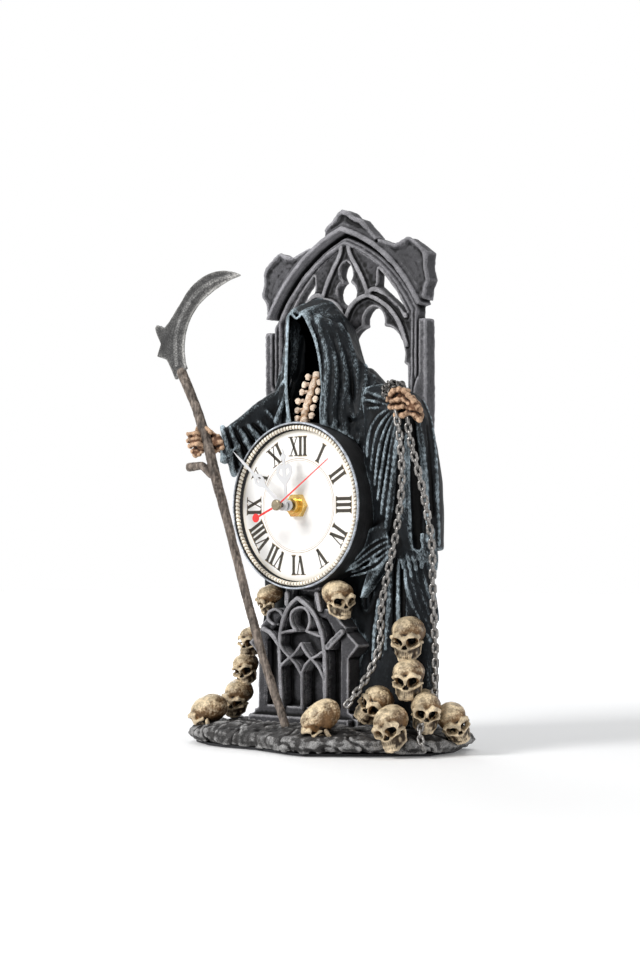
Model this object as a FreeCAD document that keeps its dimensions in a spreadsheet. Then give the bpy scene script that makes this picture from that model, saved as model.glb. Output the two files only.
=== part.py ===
import FreeCAD, Part
import Sketcher
import math
import os
from types import SimpleNamespace

# A reaper clock of cold-cast resin: rock base, plinth tower, pointed arch, robed figure, skulls, chains and
# a quartz movement in a round drum. Millimetres; X to the right, -Y to the front, +Z up. The origin lies on
# the underside of the felt, on the arch's plane of symmetry.

SIZES = {
    # Base and plinth
    "felt_thickness": 1.2,
    "base_width": 172,
    "base_depth": 100,
    "base_height": 11.6,
    "plinth_width": 79,
    "plinth_front": 10.5,
    "plinth_back": 14,
    "foot_step": 4.5,
    "panel_depth": 3,
    "window_relief": 2.9,
    "window_bar": 3.6,
    "window_width": 35,
    # Arch
    "arch_front": 24,
    "arch_thickness": 9,
    "column_outer": 58.7,
    "column_inner": 47.2,
    "column_top": 234,
    "arch_offset": 29.2,
    "arch_spring": 198.1,
    "arch_radius": 96.5,
    "arch_band": 9.9,
    "label_end": 241.5,
    "label_notch": 6,
    "mould_width": 3.6,
    "mould_relief": 2.5,
    "tracery_thickness": 5,
    "tracery_inset": 2,
    # Figure
    "hood_height": 249,
    "robe_reach": 76,
    "robe_depth": 24,
    "rib_radius": 1.7,
    "finger_radius": 1.5,
    "palm_radius": 4.6,
    "wrist_radius": 2.7,
    # Scythe
    "pole_radius": 2.5,
    "stub_radius": 2.1,
    "blade_plane": 33,
    "blade_thickness": 2.6,
    "rivet_radius": 1.8,
    "rivet_height": 1.5,
    # Chain
    "link_length": 5.6,
    "link_width": 3.4,
    "link_wire": 0.9,
    "link_slack": 0.12,
    # Skulls
    "skull_length": 24,
    "socket_radius": 2.6,
    "socket_depth": 4.5,
    # Drum and dial
    "dial_height": 132,
    "drum_radius": 45.9,
    "drum_front": 18,
    "drum_depth": 17,
    "drum_wall": 4,
    "drum_web": 3,
    "rim_width": 3.4,
    "bead_radius": 1.25,
    "bead_gap": 0.03,
    "dial_recess": 4,
    "dial_thickness": 1.5,
    "dial_gap": 0.2,
    # Movement
    "case_width": 56,
    "case_depth": 16,
    "case_wall": 1.3,
    "washer_thickness": 0.5,
    "washer_radius": 9,
    "bush_radius": 4,
    "bush_length": 11.5,
    "nut_flats": 12,
    "nut_thickness": 3,
    "fit_gap": 0.08,
    "part_gap": 0.3,
    "battery_radius": 7.25,
    "battery_length": 50.5,
    "battery_nub_radius": 2.7,
    "battery_nub_length": 1.2,
    "bay_gap": 0.5,
    "arbor_radius": 0.4,
    "wheel_thickness": 0.7,
    "pinion_thickness": 1.1,
    "level_pitch": 1.7,
    "first_level": 0.9,
    "setting_module": 0.4,
    "third_module": 0.27,
    "fourth_module": 0.28,
    "fifth_module": 0.22,
    "second_shaft_radius": 0.5,
    "minute_pipe_radius": 1.3,
    "hour_pipe_radius": 2.1,
    "rotor_radius": 2.4,
    "rotor_length": 2,
    "stator_gap": 0.6,
    "stator_width": 10.4,
    "stator_thickness": 1,
    "core_height": 1.6,
    "core_rise": 8.4,
    "coil_radius": 2.1,
    "coil_length": 21,
    "board_width": 13,
    "board_height": 18,
    "board_thickness": 1,
    "knob_radius": 5,
    "knob_thickness": 3.2,
    "knob_notch": 0.5,
    # Hands
    "hand_thickness": 0.4,
    "hour_hand_reach": 9.5,
    "hand_pitch": 3.65,
    "collar_radius": 3,
    "collar_height": 1.5,
    "hour_hand_length": 31,
    "hour_hand_width": 11.5,
    "minute_hand_length": 47.5,
    "minute_hand_width": 6.4,
    "second_hand_length": 43,
    "second_tail_length": 17,
    "second_tail_radius": 2.4,
    "second_hand_width": 0.9,
    "cap_radius": 3,
    "cap_height": 2.3,
    # One overrun for every cut
    "overrun": 1,
}

# Angles in degrees. Hands turn clockwise from twelve; arbors lie anticlockwise from three o'clock.
ANGLES = {
    "hour_hand": 355,
    "minute_hand": 310,
    "second_hand": 56,
    "minute_arbor": -10,
    "third_arbor": 150,
    "fifth_arbor": 50,
}

TEETH = {
    "rotor_pinion": 10,
    "fifth_wheel": 50,
    "fifth_pinion": 10,
    "fourth_wheel": 60,
    "fourth_pinion": 8,
    "third_wheel": 60,
    "third_pinion": 8,
    "centre_wheel": 64,
    "cannon_pinion": 12,
    "minute_wheel": 36,
    "minute_pinion": 10,
    "hour_wheel": 40,
}

# Tooth form, as shares of the module and of the tooth pitch
ADDENDUM_SHARE = 0.8
DEDENDUM_SHARE = 1.15
TOOTH_ROOT_SHARE = 0.5
TOOTH_PITCH_SHARE = 0.38
TOOTH_TIP_SHARE = 0.16

# Rock slab: shares of base_width and base_depth, seen from above, anticlockwise from the left
BASE_OUTLINE_SHARES = [
    (-0.448, -0.10), (-0.401, -0.30), (-0.27, -0.43), (-0.186, -0.463), (-0.035, -0.465),
    (0.076, -0.52), (0.186, -0.57), (0.236, -0.578), (0.331, -0.46), (0.401, -0.36),
    (0.468, -0.26), (0.55, -0.105), (0.535, 0.15), (0.505, 0.26), (0.459, 0.41),
    (0.233, 0.42), (-0.174, 0.42), (-0.384, 0.38), (-0.448, 0.15),
]
# Rings of the slab: height as a share of base_height, spread as a share of the outline
BASE_RING_SHARES = [(0.0, 0.965), (0.3, 1.0), (0.58, 0.985), (0.76, 0.93), (1.0, 0.74)]
# How far the rough edge steps in and out at each outline point
BASE_ROUGH_SHARES = [0.0, 0.015, -0.02, 0.01, -0.015, 0.02, 0.0, -0.015, 0.012, -0.018, 0.01, 0.0, -0.012]
FELT_SHARE = 0.93

# Half outline of the plinth: shares of plinth_width and of the height up to the drum
PLINTH_SHARES = [
    (0.5, 0.13), (0.5, 0.185), (0.452, 0.195), (0.452, 0.22), (0.415, 0.226), (0.415, 0.57),
    (0.505, 0.65), (0.478, 0.672), (0.39, 0.739), (0.39, 0.763), (0.26, 0.878), (0.155, 0.876),
    (0.155, 1.06),
]
PANEL_SHARES = [(0.34, 0.25), (0.34, 0.67), (0.215, 0.815), (0.1, 0.83), (0.1, 0.97)]
FOOT_SHARES = (0.46, 0.13, 0.187)
# Window on the plinth: heights as shares of the height up to the drum, half widths of window_width
WINDOW_SILL_SHARE = 0.225
WINDOW_SPRING_SHARE = 0.62
WINDOW_APEX_SHARE = 0.955
LANCET_APEX_SHARE = 0.53
LANCET_SPRING_SHARE = 0.44
TREFOIL_SHARES = [(-0.24, 0.658, 0.14), (0.24, 0.658, 0.14), (0.0, 0.70, 0.12), (0.0, 0.80, 0.125)]
DIAMOND_SHARES = [(0.0, 0.60), (0.11, 0.555), (0.0, 0.50), (-0.11, 0.555)]
BRACE_SHARES = [(0.207, 0.60), (0.334, 0.71), (0.321, 0.745), (0.198, 0.64)]
# Where the middle of a pointed light's arc lies between its spring and its apex
POINTED_SHARES = (0.72, 0.55)

# Pierced lights of the arch: shares of column_inner and of the height from arch_spring to the apex.
# A pair is a corner; two pairs are an arc's middle and end.
CENTRE_LIGHT_SHARES = [
    (0.0, 0.893), ((0.088, 0.845), (0.072, 0.73)), ((0.172, 0.665), (0.0, 0.573)),
    ((-0.172, 0.665), (-0.072, 0.73)), ((-0.088, 0.845), (0.0, 0.893)),
]
SPANDREL_SHARES = [(0.5, 0.808), (0.487, 0.697), (0.925, 0.492), ((0.775, 0.63), (0.5, 0.808))]
SIDE_LIGHT_SHARES = [
    (0.411, 0.553), ((0.565, 0.50), (0.58, 0.417)), ((0.79, 0.36), (0.875, 0.155)),
    (0.932, 0.135), (0.932, -0.13), (0.06, -0.13), (0.06, 0.20), ((0.12, 0.37), (0.28, 0.424)),
    ((0.285, 0.50), (0.411, 0.553)),
]
# Finial and right crocket: shares of the arch's half width at its spring and of its rise to the apex
FINIAL_SHARES = [
    (-0.205, 0.958), (-0.170, 1.018), (-0.083, 1.043), (-0.017, 1.105), (0.065, 1.082), (0.122, 1.043),
    (0.196, 1.026), (0.270, 0.968), (0.366, 0.899), (0.262, 0.860), (0.0, 0.958), (-0.174, 0.909),
]
CROCKET_SHARES = [
    (0.366, 0.899), (0.567, 0.846), (0.645, 0.849), (0.693, 0.883), (0.768, 0.847), (0.890, 0.779),
    (0.877, 0.701), (0.903, 0.616), (0.866, 0.567), (0.855, 0.492), (0.750, 0.551), (0.611, 0.681),
    (0.366, 0.860),
]

# Cloth behind the drum between the columns: how high it goes, as a share of hood_height
BACK_FILL_SHARE = 0.7912
# Robe: height as a share of hood_height; left, right as shares of robe_reach; front, back of robe_depth
ROBE_SHARES = [
    (0.046, -0.62, 0.99, -0.12, 1.0),
    (0.18, -0.60, 0.98, -0.10, 1.0),
    (0.32, -0.57, 0.95, -0.02, 1.0),
    (0.42, -0.58, 0.92, 0.0, 1.0),
    (0.52, -0.59, 0.86, 0.0, 1.0),
    (0.62, -0.58, 0.82, 0.0, 1.0),
    (0.70, -0.56, 0.76, -0.05, 1.0),
    (0.755, -0.44, 0.64, -0.05, 1.0),
    (0.80, -0.31, 0.50, 0.0, 0.98),
    (0.835, -0.22, 0.38, 0.1, 0.9),
]
ROBE_POINTS = 36
ROBE_FOLDS = 9
ROBE_FOLD_SHARE = 0.022
ROBE_SQUARE_SHARE = 0.62
# Cloth is pleated on its front, up to this share of its half depth behind its middle
PLEAT_SHARE = 0.2

# Hanging sleeve on the right: height as a share of hood_height; left, right of robe_reach; front, back of
# robe_depth
LEFT_SLEEVE_SHARES = [
    (0.43, 0.66, 1.04, -0.12, 0.82),
    (0.50, 0.44, 1.05, -0.30, 0.86),
    (0.58, 0.50, 1.04, -0.40, 0.84),
    (0.66, 0.52, 1.00, -0.44, 0.80),
    (0.72, 0.50, 0.95, -0.36, 0.72),
    (0.765, 0.46, 0.86, -0.22, 0.62),
    (0.79, 0.44, 0.70, 0.0, 0.5),
]
# Raised sleeve on the left: centres and half sizes of upright sections: x of robe_reach, y of robe_depth,
# z and half height of hood_height, half depth of robe_depth
RIGHT_SLEEVE_SHARES = [
    (-0.13, 0.42, 0.790, 0.048, 0.50),
    (-0.27, 0.20, 0.745, 0.070, 0.58),
    (-0.42, -0.28, 0.690, 0.088, 0.58),
    (-0.52, -0.72, 0.655, 0.078, 0.50),
    (-0.575, -0.98, 0.650, 0.062, 0.36),
]
SLEEVE_POINTS = 20
SLEEVE_FOLDS = 5
SLEEVE_FOLD_SHARE = 0.06
# Torn hem of the hanging sleeve, seen from the front: shares of robe_reach and of hood_height
HEM_SHARES = [(0.72, 0.49), (0.52, 0.475), (0.34, 0.375), (0.60, 0.415), (0.46, 0.305), (0.80, 0.43)]

# Hood: outlines seen from the front as shares of robe_reach and hood_height, and how far back each lies as
# a share of robe_depth
HOOD_FRONT_SHARES = [
    (-0.225, 0.715), (-0.19, 0.78), (-0.16, 0.87), (-0.165, 0.945), (-0.11, 0.962), (-0.055, 0.95),
    (-0.005, 0.958), (0.085, 0.928), (0.145, 0.885), (0.18, 0.84), (0.19, 0.77), (0.18, 0.715),
]
HOOD_CROWN_SHARES = [
    (-0.33, 0.715), (-0.30, 0.80), (-0.25, 0.88), (-0.19, 0.955), (-0.12, 0.987), (-0.05, 1.0),
    (0.07, 0.99), (0.17, 0.955), (0.25, 0.895), (0.31, 0.86), (0.36, 0.80), (0.37, 0.715),
]
HOOD_BACK_SHARES = [
    (-0.26, 0.74), (-0.24, 0.80), (-0.20, 0.87), (-0.16, 0.92), (-0.11, 0.95), (-0.05, 0.96),
    (0.06, 0.952), (0.14, 0.925), (0.20, 0.88), (0.25, 0.84), (0.29, 0.79), (0.29, 0.74),
]
HOOD_DEPTH_SHARES = (-0.42, -0.18, 0.33, 0.96)
# How far each of those outlines is spread about its own middle
HOOD_SPREAD_SHARES = (1.06, 1.16, 1.0, 1.0)
# The hollow: depths of its outlines as shares of robe_depth, and their spreads
HOLLOW_DEPTH_SHARES = (-0.85, -0.42, 0.2)
HOLLOW_SPREAD_SHARES = (0.98, 0.96, 0.72)
# Breastbone from neck to drum, and its ribs: shares of robe_reach, robe_depth and hood_height
BREASTBONE_SHARES = ((0.015, -0.14, 0.80), (-0.045, -0.20, 0.71))
RIB_COUNT = 5
RIB_REACH_SHARE = 0.085
# Thickness of the breastbone's top and of a rib at the bone, as shares of rib_radius
RIB_ROOT_SHARES = (1.5, 0.8)

# Scythe pole from foot to head: shares of blade_plane for y, of hood_height for x and z
POLE_SHARES = [
    (0.0602, -1.142, 0.020), (0.033, -1.130, 0.083), (0.0056, -1.121, 0.138), (-0.0249, -1.109, 0.204),
    (-0.0627, -1.091, 0.301), (-0.1036, -1.073, 0.410), (-0.1325, -1.058, 0.490), (-0.1618, -1.045, 0.566),
    (-0.2012, -1.027, 0.679), (-0.2369, -1.012, 0.755), (-0.2859, -1.0, 0.840),
]
POLE_RADIUS_SHARES = [0.86, 0.8, 0.84, 0.8, 0.9, 0.86, 0.92, 1.02, 0.98, 0.92, 1.04]
POLE_SIDES = 10
STUB_SHARES = [(-0.183, -1.04, 0.60), (-0.212, -1.06, 0.622), (-0.252, -1.08, 0.619)]
STUB_RADIUS_SHARES = (1.0, 0.9, 1.0)
# Blade outline: shares of hood_height for x and z
BLADE_SHARES = [
    (-0.0984, 1.0386), ((-0.185, 1.0526), (-0.2655, 1.0137)), (-0.3185, 0.9546), (-0.3366, 0.9398),
    (-0.347, 0.9446), (-0.3598, 0.9486), (-0.3663, 0.9418), (-0.3622, 0.9305), (-0.347, 0.904),
    (-0.3598, 0.8755), (-0.3418, 0.8707), (-0.3289, 0.8663), (-0.3161, 0.8474), (-0.3008, 0.8193),
    (-0.2755, 0.8378), (-0.2655, 0.8426), ((-0.265, 0.9378), (-0.2229, 0.9884)),
    ((-0.1542, 1.0233), (-0.0984, 1.0386)),
]
RIVET_SHARES = (-0.3325, 0.904)

# Chains from the fist to the rock: shares of robe_reach, robe_depth and hood_height
FRONT_CHAIN_SHARES = [
    (0.880, -0.54, 0.726), (0.905, -0.56, 0.708), (0.945, -0.60, 0.660), (0.968, -0.62, 0.567),
    (0.903, -0.60, 0.458), (0.834, -0.56, 0.398), (0.767, -0.54, 0.328), (0.763, -0.60, 0.264),
    (0.788, -0.66, 0.235), (0.757, -0.80, 0.190), (0.735, -1.06, 0.152), (0.70, -1.34, 0.118),
    (0.66, -1.50, 0.094),
]
SIDE_CHAIN_SHARES = [
    (0.96, -0.42, 0.700), (0.99, -0.42, 0.655), (1.045, -0.30, 0.580), (1.075, -0.16, 0.500),
    (1.09, -0.06, 0.438), (1.07, 0.02, 0.357), (1.075, 0.06, 0.275), (1.085, 0.08, 0.215),
    (1.11, -0.05, 0.135), (1.13, -0.22, 0.104), (1.135, -0.38, 0.088), (1.14, -0.56, 0.074),
    (1.15, -0.74, 0.062), (1.17, -0.86, 0.048), (1.20, -0.90, 0.030), (1.23, -0.90, 0.014),
]

# Skulls: place (shares of base_width, base_depth, hood_height), turn, nod and lean in degrees, size share
SKULL_SHARES = [
    (-0.325, -0.25, 0.062, -80, 0, 0, 1.0),
    (-0.316, -0.04, 0.096, 25, 20, 10, 0.80),
    (-0.310, 0.02, 0.158, 20, 10, -8, 0.72),
    (-0.300, 0.05, 0.220, 0, 0, 5, 0.70),
    (-0.160, -0.085, 0.326, -60, 0, 10, 0.92),
    (0.152, -0.110, 0.326, 55, 5, -5, 0.92),
    (0.240, -0.41, 0.070, -65, 25, 0, 1.04),
    (0.330, -0.175, 0.102, -15, 25, 15, 1.02),
    (0.434, -0.27, 0.066, 10, 25, 10, 0.96),
    (0.395, -0.03, 0.244, 40, 0, 5, 1.06),
    (0.420, -0.08, 0.158, 45, 5, 0, 0.98),
    (0.450, -0.03, 0.100, 45, 0, 0, 0.78),
    (0.505, -0.09, 0.070, 35, 10, 10, 0.90),
    (0.542, 0.045, 0.076, 50, 0, 0, 0.84),
]
# One skull: height, half width, front and back of each ring, as shares of its length
SKULL_RING_SHARES = [
    (-0.46, 0.13, -0.41, -0.24), (-0.40, 0.19, -0.46, -0.14), (-0.22, 0.24, -0.475, -0.02),
    (-0.10, 0.31, -0.455, 0.16), (0.02, 0.345, -0.45, 0.36), (0.14, 0.355, -0.47, 0.46),
    (0.28, 0.35, -0.42, 0.46), (0.38, 0.28, -0.30, 0.37), (0.45, 0.15, -0.12, 0.21),
]
SKULL_POINTS = 12
EYE_SHARES = (0.15, 0.06)
NOSE_SHARES = (0.0, -0.10, 0.55)

# Places of the bones of the two hands
RIGHT_FIST_SHARES = (-0.735, -1.46, 0.672)
RIGHT_WRIST_SHARES = (-0.585, -1.12, 0.661)
LEFT_FIST_SHARES = (0.865, -0.30, 0.752)
LEFT_WRIST_SHARES = (0.70, 0.20, 0.748)
LEFT_GRIP_SHARES = (0.35, -0.45, 1.0)
FINGER_COUNT = 4
# Fingers: pitch and the thickness of the four joints, as shares of finger_radius
FINGER_PITCH_SHARE = 2.1
FINGER_TAPER_SHARES = (1.0, 0.9, 0.85, 0.75)
# Hand: how far the forearm lies to one side and its thickness at the palm, as shares of wrist_radius
FOREARM_SHARES = (0.6, 0.8)
# Palm: knuckle, fingertip, ball and the ball's place, as shares of palm_radius
PALM_SHARES = (0.4, 0.9, 0.85, 0.6)


# Battery contacts: depth and height as shares of the cell's radius
CONTACT_SHARES = (1.5, 1.0)
KNOB_NOTCHES = 16


class Size(float):
    """A number from the sheet that remembers its formula, so that sums of sizes stay bound to the cells."""

    def __new__(cls, number, text):
        made = super().__new__(cls, number)
        made.text = text
        return made

    def joined(self, other, sign, number, swapped=False):
        left = formula(other) if swapped else self.text
        right = self.text if swapped else formula(other)
        return Size(number, "(" + left + " " + sign + " " + right + ")")

    def __add__(self, other):
        return self.joined(other, "+", float(self) + float(other))

    def __radd__(self, other):
        return self.joined(other, "+", float(other) + float(self), True)

    def __sub__(self, other):
        return self.joined(other, "-", float(self) - float(other))

    def __rsub__(self, other):
        return self.joined(other, "-", float(other) - float(self), True)

    def __mul__(self, other):
        return self.joined(other, "*", float(self) * float(other))

    def __rmul__(self, other):
        return self.joined(other, "*", float(other) * float(self), True)

    def __truediv__(self, other):
        return self.joined(other, "/", float(self) / float(other))

    def __neg__(self):
        return Size(-float(self), "(-" + self.text + ")")


def formula(value):
    """The formula of a size, or the digits of a plain number."""
    if isinstance(value, Size):
        return value.text
    return repr(float(value))


doc = FreeCAD.newDocument("ReaperClock")
sheet = doc.addObject("Spreadsheet::Sheet", "Sizes")
for row, (alias, number) in enumerate(SIZES.items(), start=1):
    sheet.set("A" + str(row), alias)
    sheet.set("B" + str(row), str(number))
    sheet.setAlias("B" + str(row), alias)
doc.recompute()
d = SimpleNamespace(**{alias: Size(sheet.get(alias), "Sizes." + alias) for alias in SIZES})


# Helpers for the document

def bind(item, prop, value):
    """Tie a property to the sheet."""
    item.setExpression(prop, formula(value))


def put(item, x=0, y=0, z=0):
    """Tie an object's place to the sheet."""
    bind(item, "Placement.Base.x", x)
    bind(item, "Placement.Base.y", y)
    bind(item, "Placement.Base.z", z)


def new_body(name, x=0, y=0, z=0):
    body = doc.addObject("PartDesign::Body", name)
    body.Label = name
    put(body, x, y, z)
    return body


def sketch(body, role, offset=0):
    """A sketch on one of the body's origin planes. XZ sketches look from the front, so offset is +Y there."""
    item = body.newObject("Sketcher::SketchObject", body.Name + "_sketch")
    planes = [feature for feature in body.Origin.OriginFeatures if feature.Role == role]
    item.AttachmentSupport = [(planes[0], "")]
    item.MapMode = "FlatFace"
    bind(item, "AttachmentOffset.Base.z", -offset if role == "XZ_Plane" else offset)
    return item


def pin_point(item, geometry, place, across, up):
    """Fix one sketch point by its distances from the sketch's origin."""
    for kind, value in (("DistanceX", across), ("DistanceY", up)):
        index = item.addConstraint(Sketcher.Constraint(kind, -1, 1, geometry, place, float(value)))
        if isinstance(value, Size):
            bind(item, "Constraints[" + str(index) + "]", value)


def polygon(item, corners):
    """A closed outline of straight lines, each corner tied to the sheet."""
    first = item.GeometryCount
    spots = [FreeCAD.Vector(float(across), float(up), 0) for across, up in corners]
    for index, spot in enumerate(spots):
        item.addGeometry(Part.LineSegment(spot, spots[(index + 1) % len(spots)]), False)
    for index, (across, up) in enumerate(corners):
        following = first + (index + 1) % len(corners)
        item.addConstraint(Sketcher.Constraint("Coincident", first + index, 2, following, 1))
        pin_point(item, first + index, 1, across, up)


def circle(item, radius, across=0, up=0):
    centre = FreeCAD.Vector(float(across), float(up), 0)
    geometry = item.addGeometry(Part.Circle(centre, FreeCAD.Vector(0, 0, 1), float(radius)), False)
    pin_point(item, geometry, 3, across, up)
    index = item.addConstraint(Sketcher.Constraint("Radius", geometry, float(radius)))
    bind(item, "Constraints[" + str(index) + "]", radius)


def rectangle(item, left, right, low, high):
    polygon(item, [(left, low), (right, low), (right, high), (left, high)])


def pad(body, profile, length):
    """Thicken a profile towards the front, or upwards from an XY sketch."""
    item = body.newObject("PartDesign::Pad", body.Name + "_pad")
    item.Profile = profile
    bind(item, "Length", length)
    return item


def pocket(body, profile, length):
    """Cut a profile away from the front towards the back."""
    item = body.newObject("PartDesign::Pocket", body.Name + "_pocket")
    item.Profile = profile
    bind(item, "Length", length)
    return item


def revolve(body, profile):
    item = body.newObject("PartDesign::Revolution", body.Name + "_revolution")
    item.Profile = profile
    item.ReferenceAxis = (profile, ["V_Axis"])
    item.Angle = 360
    return item


def feature(name, shape):
    """A sub-part whose shape is set in code from the sheet's sizes."""
    item = doc.addObject("Part::Feature", name)
    item.Label = name
    item.Shape = shape
    return item


# Helpers for shapes

POINT_TOLERANCE = 1e-6


def vector(x, y, z):
    return FreeCAD.Vector(float(x), float(y), float(z))


def solid_from(points, facets):
    """A closed solid from corner points and triangles."""
    shell = Part.Shape()
    shell.makeShapeFromMesh((points, facets), POINT_TOLERANCE)
    solid = Part.Solid(shell.Shells[0] if shell.Shells else shell)
    if solid.Volume < 0:
        solid.reverse()
    return solid


def faceted(rings):
    """A closed solid through rings that have as many points each, with flat fans at both ends."""
    count = len(rings[0])
    points = [point for ring in rings for point in ring]
    facets = []
    for level in range(len(rings) - 1):
        for index in range(count):
            following = (index + 1) % count
            low, low_next = level * count + index, level * count + following
            high, high_next = low + count, low_next + count
            facets.append((low, low_next, high_next))
            facets.append((low, high_next, high))
    for level, order in ((0, -1), (len(rings) - 1, 1)):
        middle = sum(rings[level], FreeCAD.Vector()) / count
        points.append(middle)
        for index in range(count):
            ends = (level * count + index, level * count + (index + 1) % count)
            facets.append((ends[::order][0], ends[::order][1], len(points) - 1))
    return solid_from(points, facets)


def tube_along(points, radii, sides):
    """A round bar through hand-placed points, as thick as its radii."""
    rings = []
    for index, point in enumerate(points):
        ahead = points[min(index + 1, len(points) - 1)]
        behind = points[max(index - 1, 0)]
        along = (ahead - behind).normalize()
        across = along.cross(FreeCAD.Vector(0, 1, 0)).normalize()
        other = along.cross(across)
        turns = [2 * math.pi * step / sides for step in range(sides)]
        rings.append([point + (across * math.cos(turn) + other * math.sin(turn)) * float(radii[index])
                      for turn in turns])
    return faceted(rings)


def bone(start, end, start_radius, end_radius):
    """A knuckle-ended bone: a tapered shaft between two balls."""
    along = end - start
    shaft = Part.makeCone(float(start_radius), float(end_radius), along.Length, start, along)
    balls = [Part.makeSphere(float(start_radius), start), Part.makeSphere(float(end_radius), end)]
    return shaft.multiFuse(balls)


def flat_shape(outline, width, height, base=0, mirrored=False):
    """A face in the XZ plane from corners and arcs given as shares of a width and a height."""
    side = -1 if mirrored else 1

    def spot(pair):
        return vector(side * pair[0] * float(width), 0, float(base) + pair[1] * float(height))

    edges = []
    here = spot(outline[0])
    for step in list(outline[1:]) + [outline[0]]:
        if isinstance(step[0], tuple):
            edges.append(Part.Arc(here, spot(step[0]), spot(step[1])).toShape())
            here = spot(step[1])
        elif (spot(step) - here).Length > POINT_TOLERANCE:
            edges.append(Part.LineSegment(here, spot(step)).toShape())
            here = spot(step)
    return Part.Face(Part.Wire(edges))


def thicken(face, front, thickness):
    """Push a face in the XZ plane to its front plane and give it a thickness towards the back."""
    moved = face.copy()
    moved.translate(vector(0, front, 0))
    return moved.extrude(vector(0, thickness, 0))


def block(left, right, front, back, low, high):
    corner = vector(left, front, low)
    return Part.makeBox(float(right - left), float(back - front), float(high - low), corner)


def rod(radius, front, back, x=0, z=0):
    """A round bar along Y."""
    start = vector(x, front, z)
    return Part.makeCylinder(float(radius), float(back - front), start, FreeCAD.Vector(0, 1, 0))


def carved(shape, *neighbours):
    """Cut a casting back to the faces of the pieces that it is glued to."""
    box = shape.BoundBox
    for other in neighbours:
        if box.intersect(other.BoundBox):
            shape = shape.cut(other)
    return max(shape.Solids, key=lambda solid: solid.Volume)


# Places along the depth, from the front of the rim to the back of the movement
rim_front = -d.drum_front
dial_front = rim_front + d.dial_recess
web_front = dial_front + d.dial_thickness
web_back = web_front + d.drum_web
case_front = web_back + d.washer_thickness
case_back = case_front + d.case_depth
chamber_front = case_front + d.case_wall
cover_front = case_back - d.case_wall
drum_back = rim_front + d.drum_depth
base_top = d.felt_thickness + d.base_height
tower_height = d.dial_height - d.drum_radius
arch_back = d.arch_front + d.arch_thickness
inner_radius = d.arch_radius - d.arch_band
back_fill_height = d.hood_height * BACK_FILL_SHARE


# Base

def base_ring(height, spread, rough_share=1):
    """One ring of the slab, stepped in and out by the rough shares."""
    ring = []
    for index, (across, deep) in enumerate(BASE_OUTLINE_SHARES):
        rough = BASE_ROUGH_SHARES[(index * 3) % len(BASE_ROUGH_SHARES)] * rough_share
        share = spread + rough
        ring.append(vector(across * d.base_width * share, deep * d.base_depth * share, height))
    return ring


felt = new_body("felt_base")
felt_sketch = sketch(felt, "XY_Plane")
polygon(felt_sketch, [(d.base_width * (x * FELT_SHARE), d.base_depth * (y * FELT_SHARE))
                      for x, y in BASE_OUTLINE_SHARES])
pad(felt, felt_sketch, d.felt_thickness)

rock_rings = []
for rise, spread in BASE_RING_SHARES:
    rough = 0 if rise == 0 else 1
    rock_rings.append(base_ring(d.felt_thickness + rise * d.base_height, spread, rough))
rock_base = faceted(rock_rings)


# Plinth tower with its sunk panel and stepped foot

def both_sides(shares, width, height):
    """Mirror half an outline about the middle plane."""
    right = [(width * x, height * z) for x, z in shares]
    left = [(width * -x, height * z) for x, z in reversed(shares)]
    return right + left


plinth = new_body("plinth")
tower = sketch(plinth, "XZ_Plane", d.plinth_back)
polygon(tower, both_sides(PLINTH_SHARES, d.plinth_width, tower_height))
pad(plinth, tower, d.plinth_front + d.plinth_back)
foot = sketch(plinth, "XZ_Plane", 0)
foot_half = d.plinth_width * FOOT_SHARES[0]
rectangle(foot, -foot_half, foot_half, tower_height * FOOT_SHARES[1], tower_height * FOOT_SHARES[2])
pad(plinth, foot, d.plinth_front + d.foot_step)
panel = sketch(plinth, "XZ_Plane", -d.plinth_front)
polygon(panel, both_sides(PANEL_SHARES, d.plinth_width, tower_height))
pocket(plinth, panel, d.panel_depth)
drum_seat = sketch(plinth, "XZ_Plane", -d.plinth_front - d.overrun)
circle(drum_seat, d.drum_radius, 0, d.dial_height)
pocket(plinth, drum_seat, d.plinth_front + d.plinth_back + d.overrun * 2)
doc.recompute()
plinth.Tip = plinth.Group[-1]


# Window tracery on the plinth

def pointed(half_width, low, spring, apex, centre=0):
    """A pointed light: a rectangle below, two arcs above."""
    rise = float(apex - spring)
    half = float(half_width)
    middle = (centre + half * POINTED_SHARES[0], float(spring) + rise * POINTED_SHARES[1])
    mirror = (centre - half * POINTED_SHARES[0], middle[1])
    outline = [(centre + half, float(low)), (centre + half, float(spring)), (middle, (centre, float(apex))),
               (mirror, (centre - half, float(spring))), (centre - half, float(low))]
    return flat_shape(outline, 1, 1)


window_front = -(d.plinth_front + d.window_relief)
window_half = d.window_width / 2
window_low = tower_height * WINDOW_SILL_SHARE
tracery = pointed(window_half, window_low, tower_height * WINDOW_SPRING_SHARE,
                  tower_height * WINDOW_APEX_SHARE)
for across, up, radius in TREFOIL_SHARES:
    lobe = Part.makeCircle(float(radius * d.window_width), vector(across * d.window_width, 0,
                           up * tower_height), FreeCAD.Vector(0, 1, 0))
    tracery = tracery.cut(Part.Face(Part.Wire([lobe])))
lancet_half = (window_half - d.window_bar * 1.5) / 2
for side in (-1, 1):
    centre = side * float(lancet_half + d.window_bar / 2)
    tracery = tracery.cut(pointed(lancet_half, window_low + d.window_bar / 2, tower_height *
                                  LANCET_SPRING_SHARE, tower_height * LANCET_APEX_SHARE, centre))
tracery = tracery.cut(flat_shape(DIAMOND_SHARES, d.window_width, tower_height))
plinth_tracery = thicken(tracery, window_front, d.window_relief + d.panel_depth)
for mirrored in (False, True):
    brace = flat_shape(BRACE_SHARES, d.plinth_width, tower_height, 0, mirrored)
    plinth_tracery = plinth_tracery.fuse(thicken(brace, -d.plinth_front, d.panel_depth))
plinth_tracery = carved(plinth_tracery, plinth.Shape)


# Arch

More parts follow.
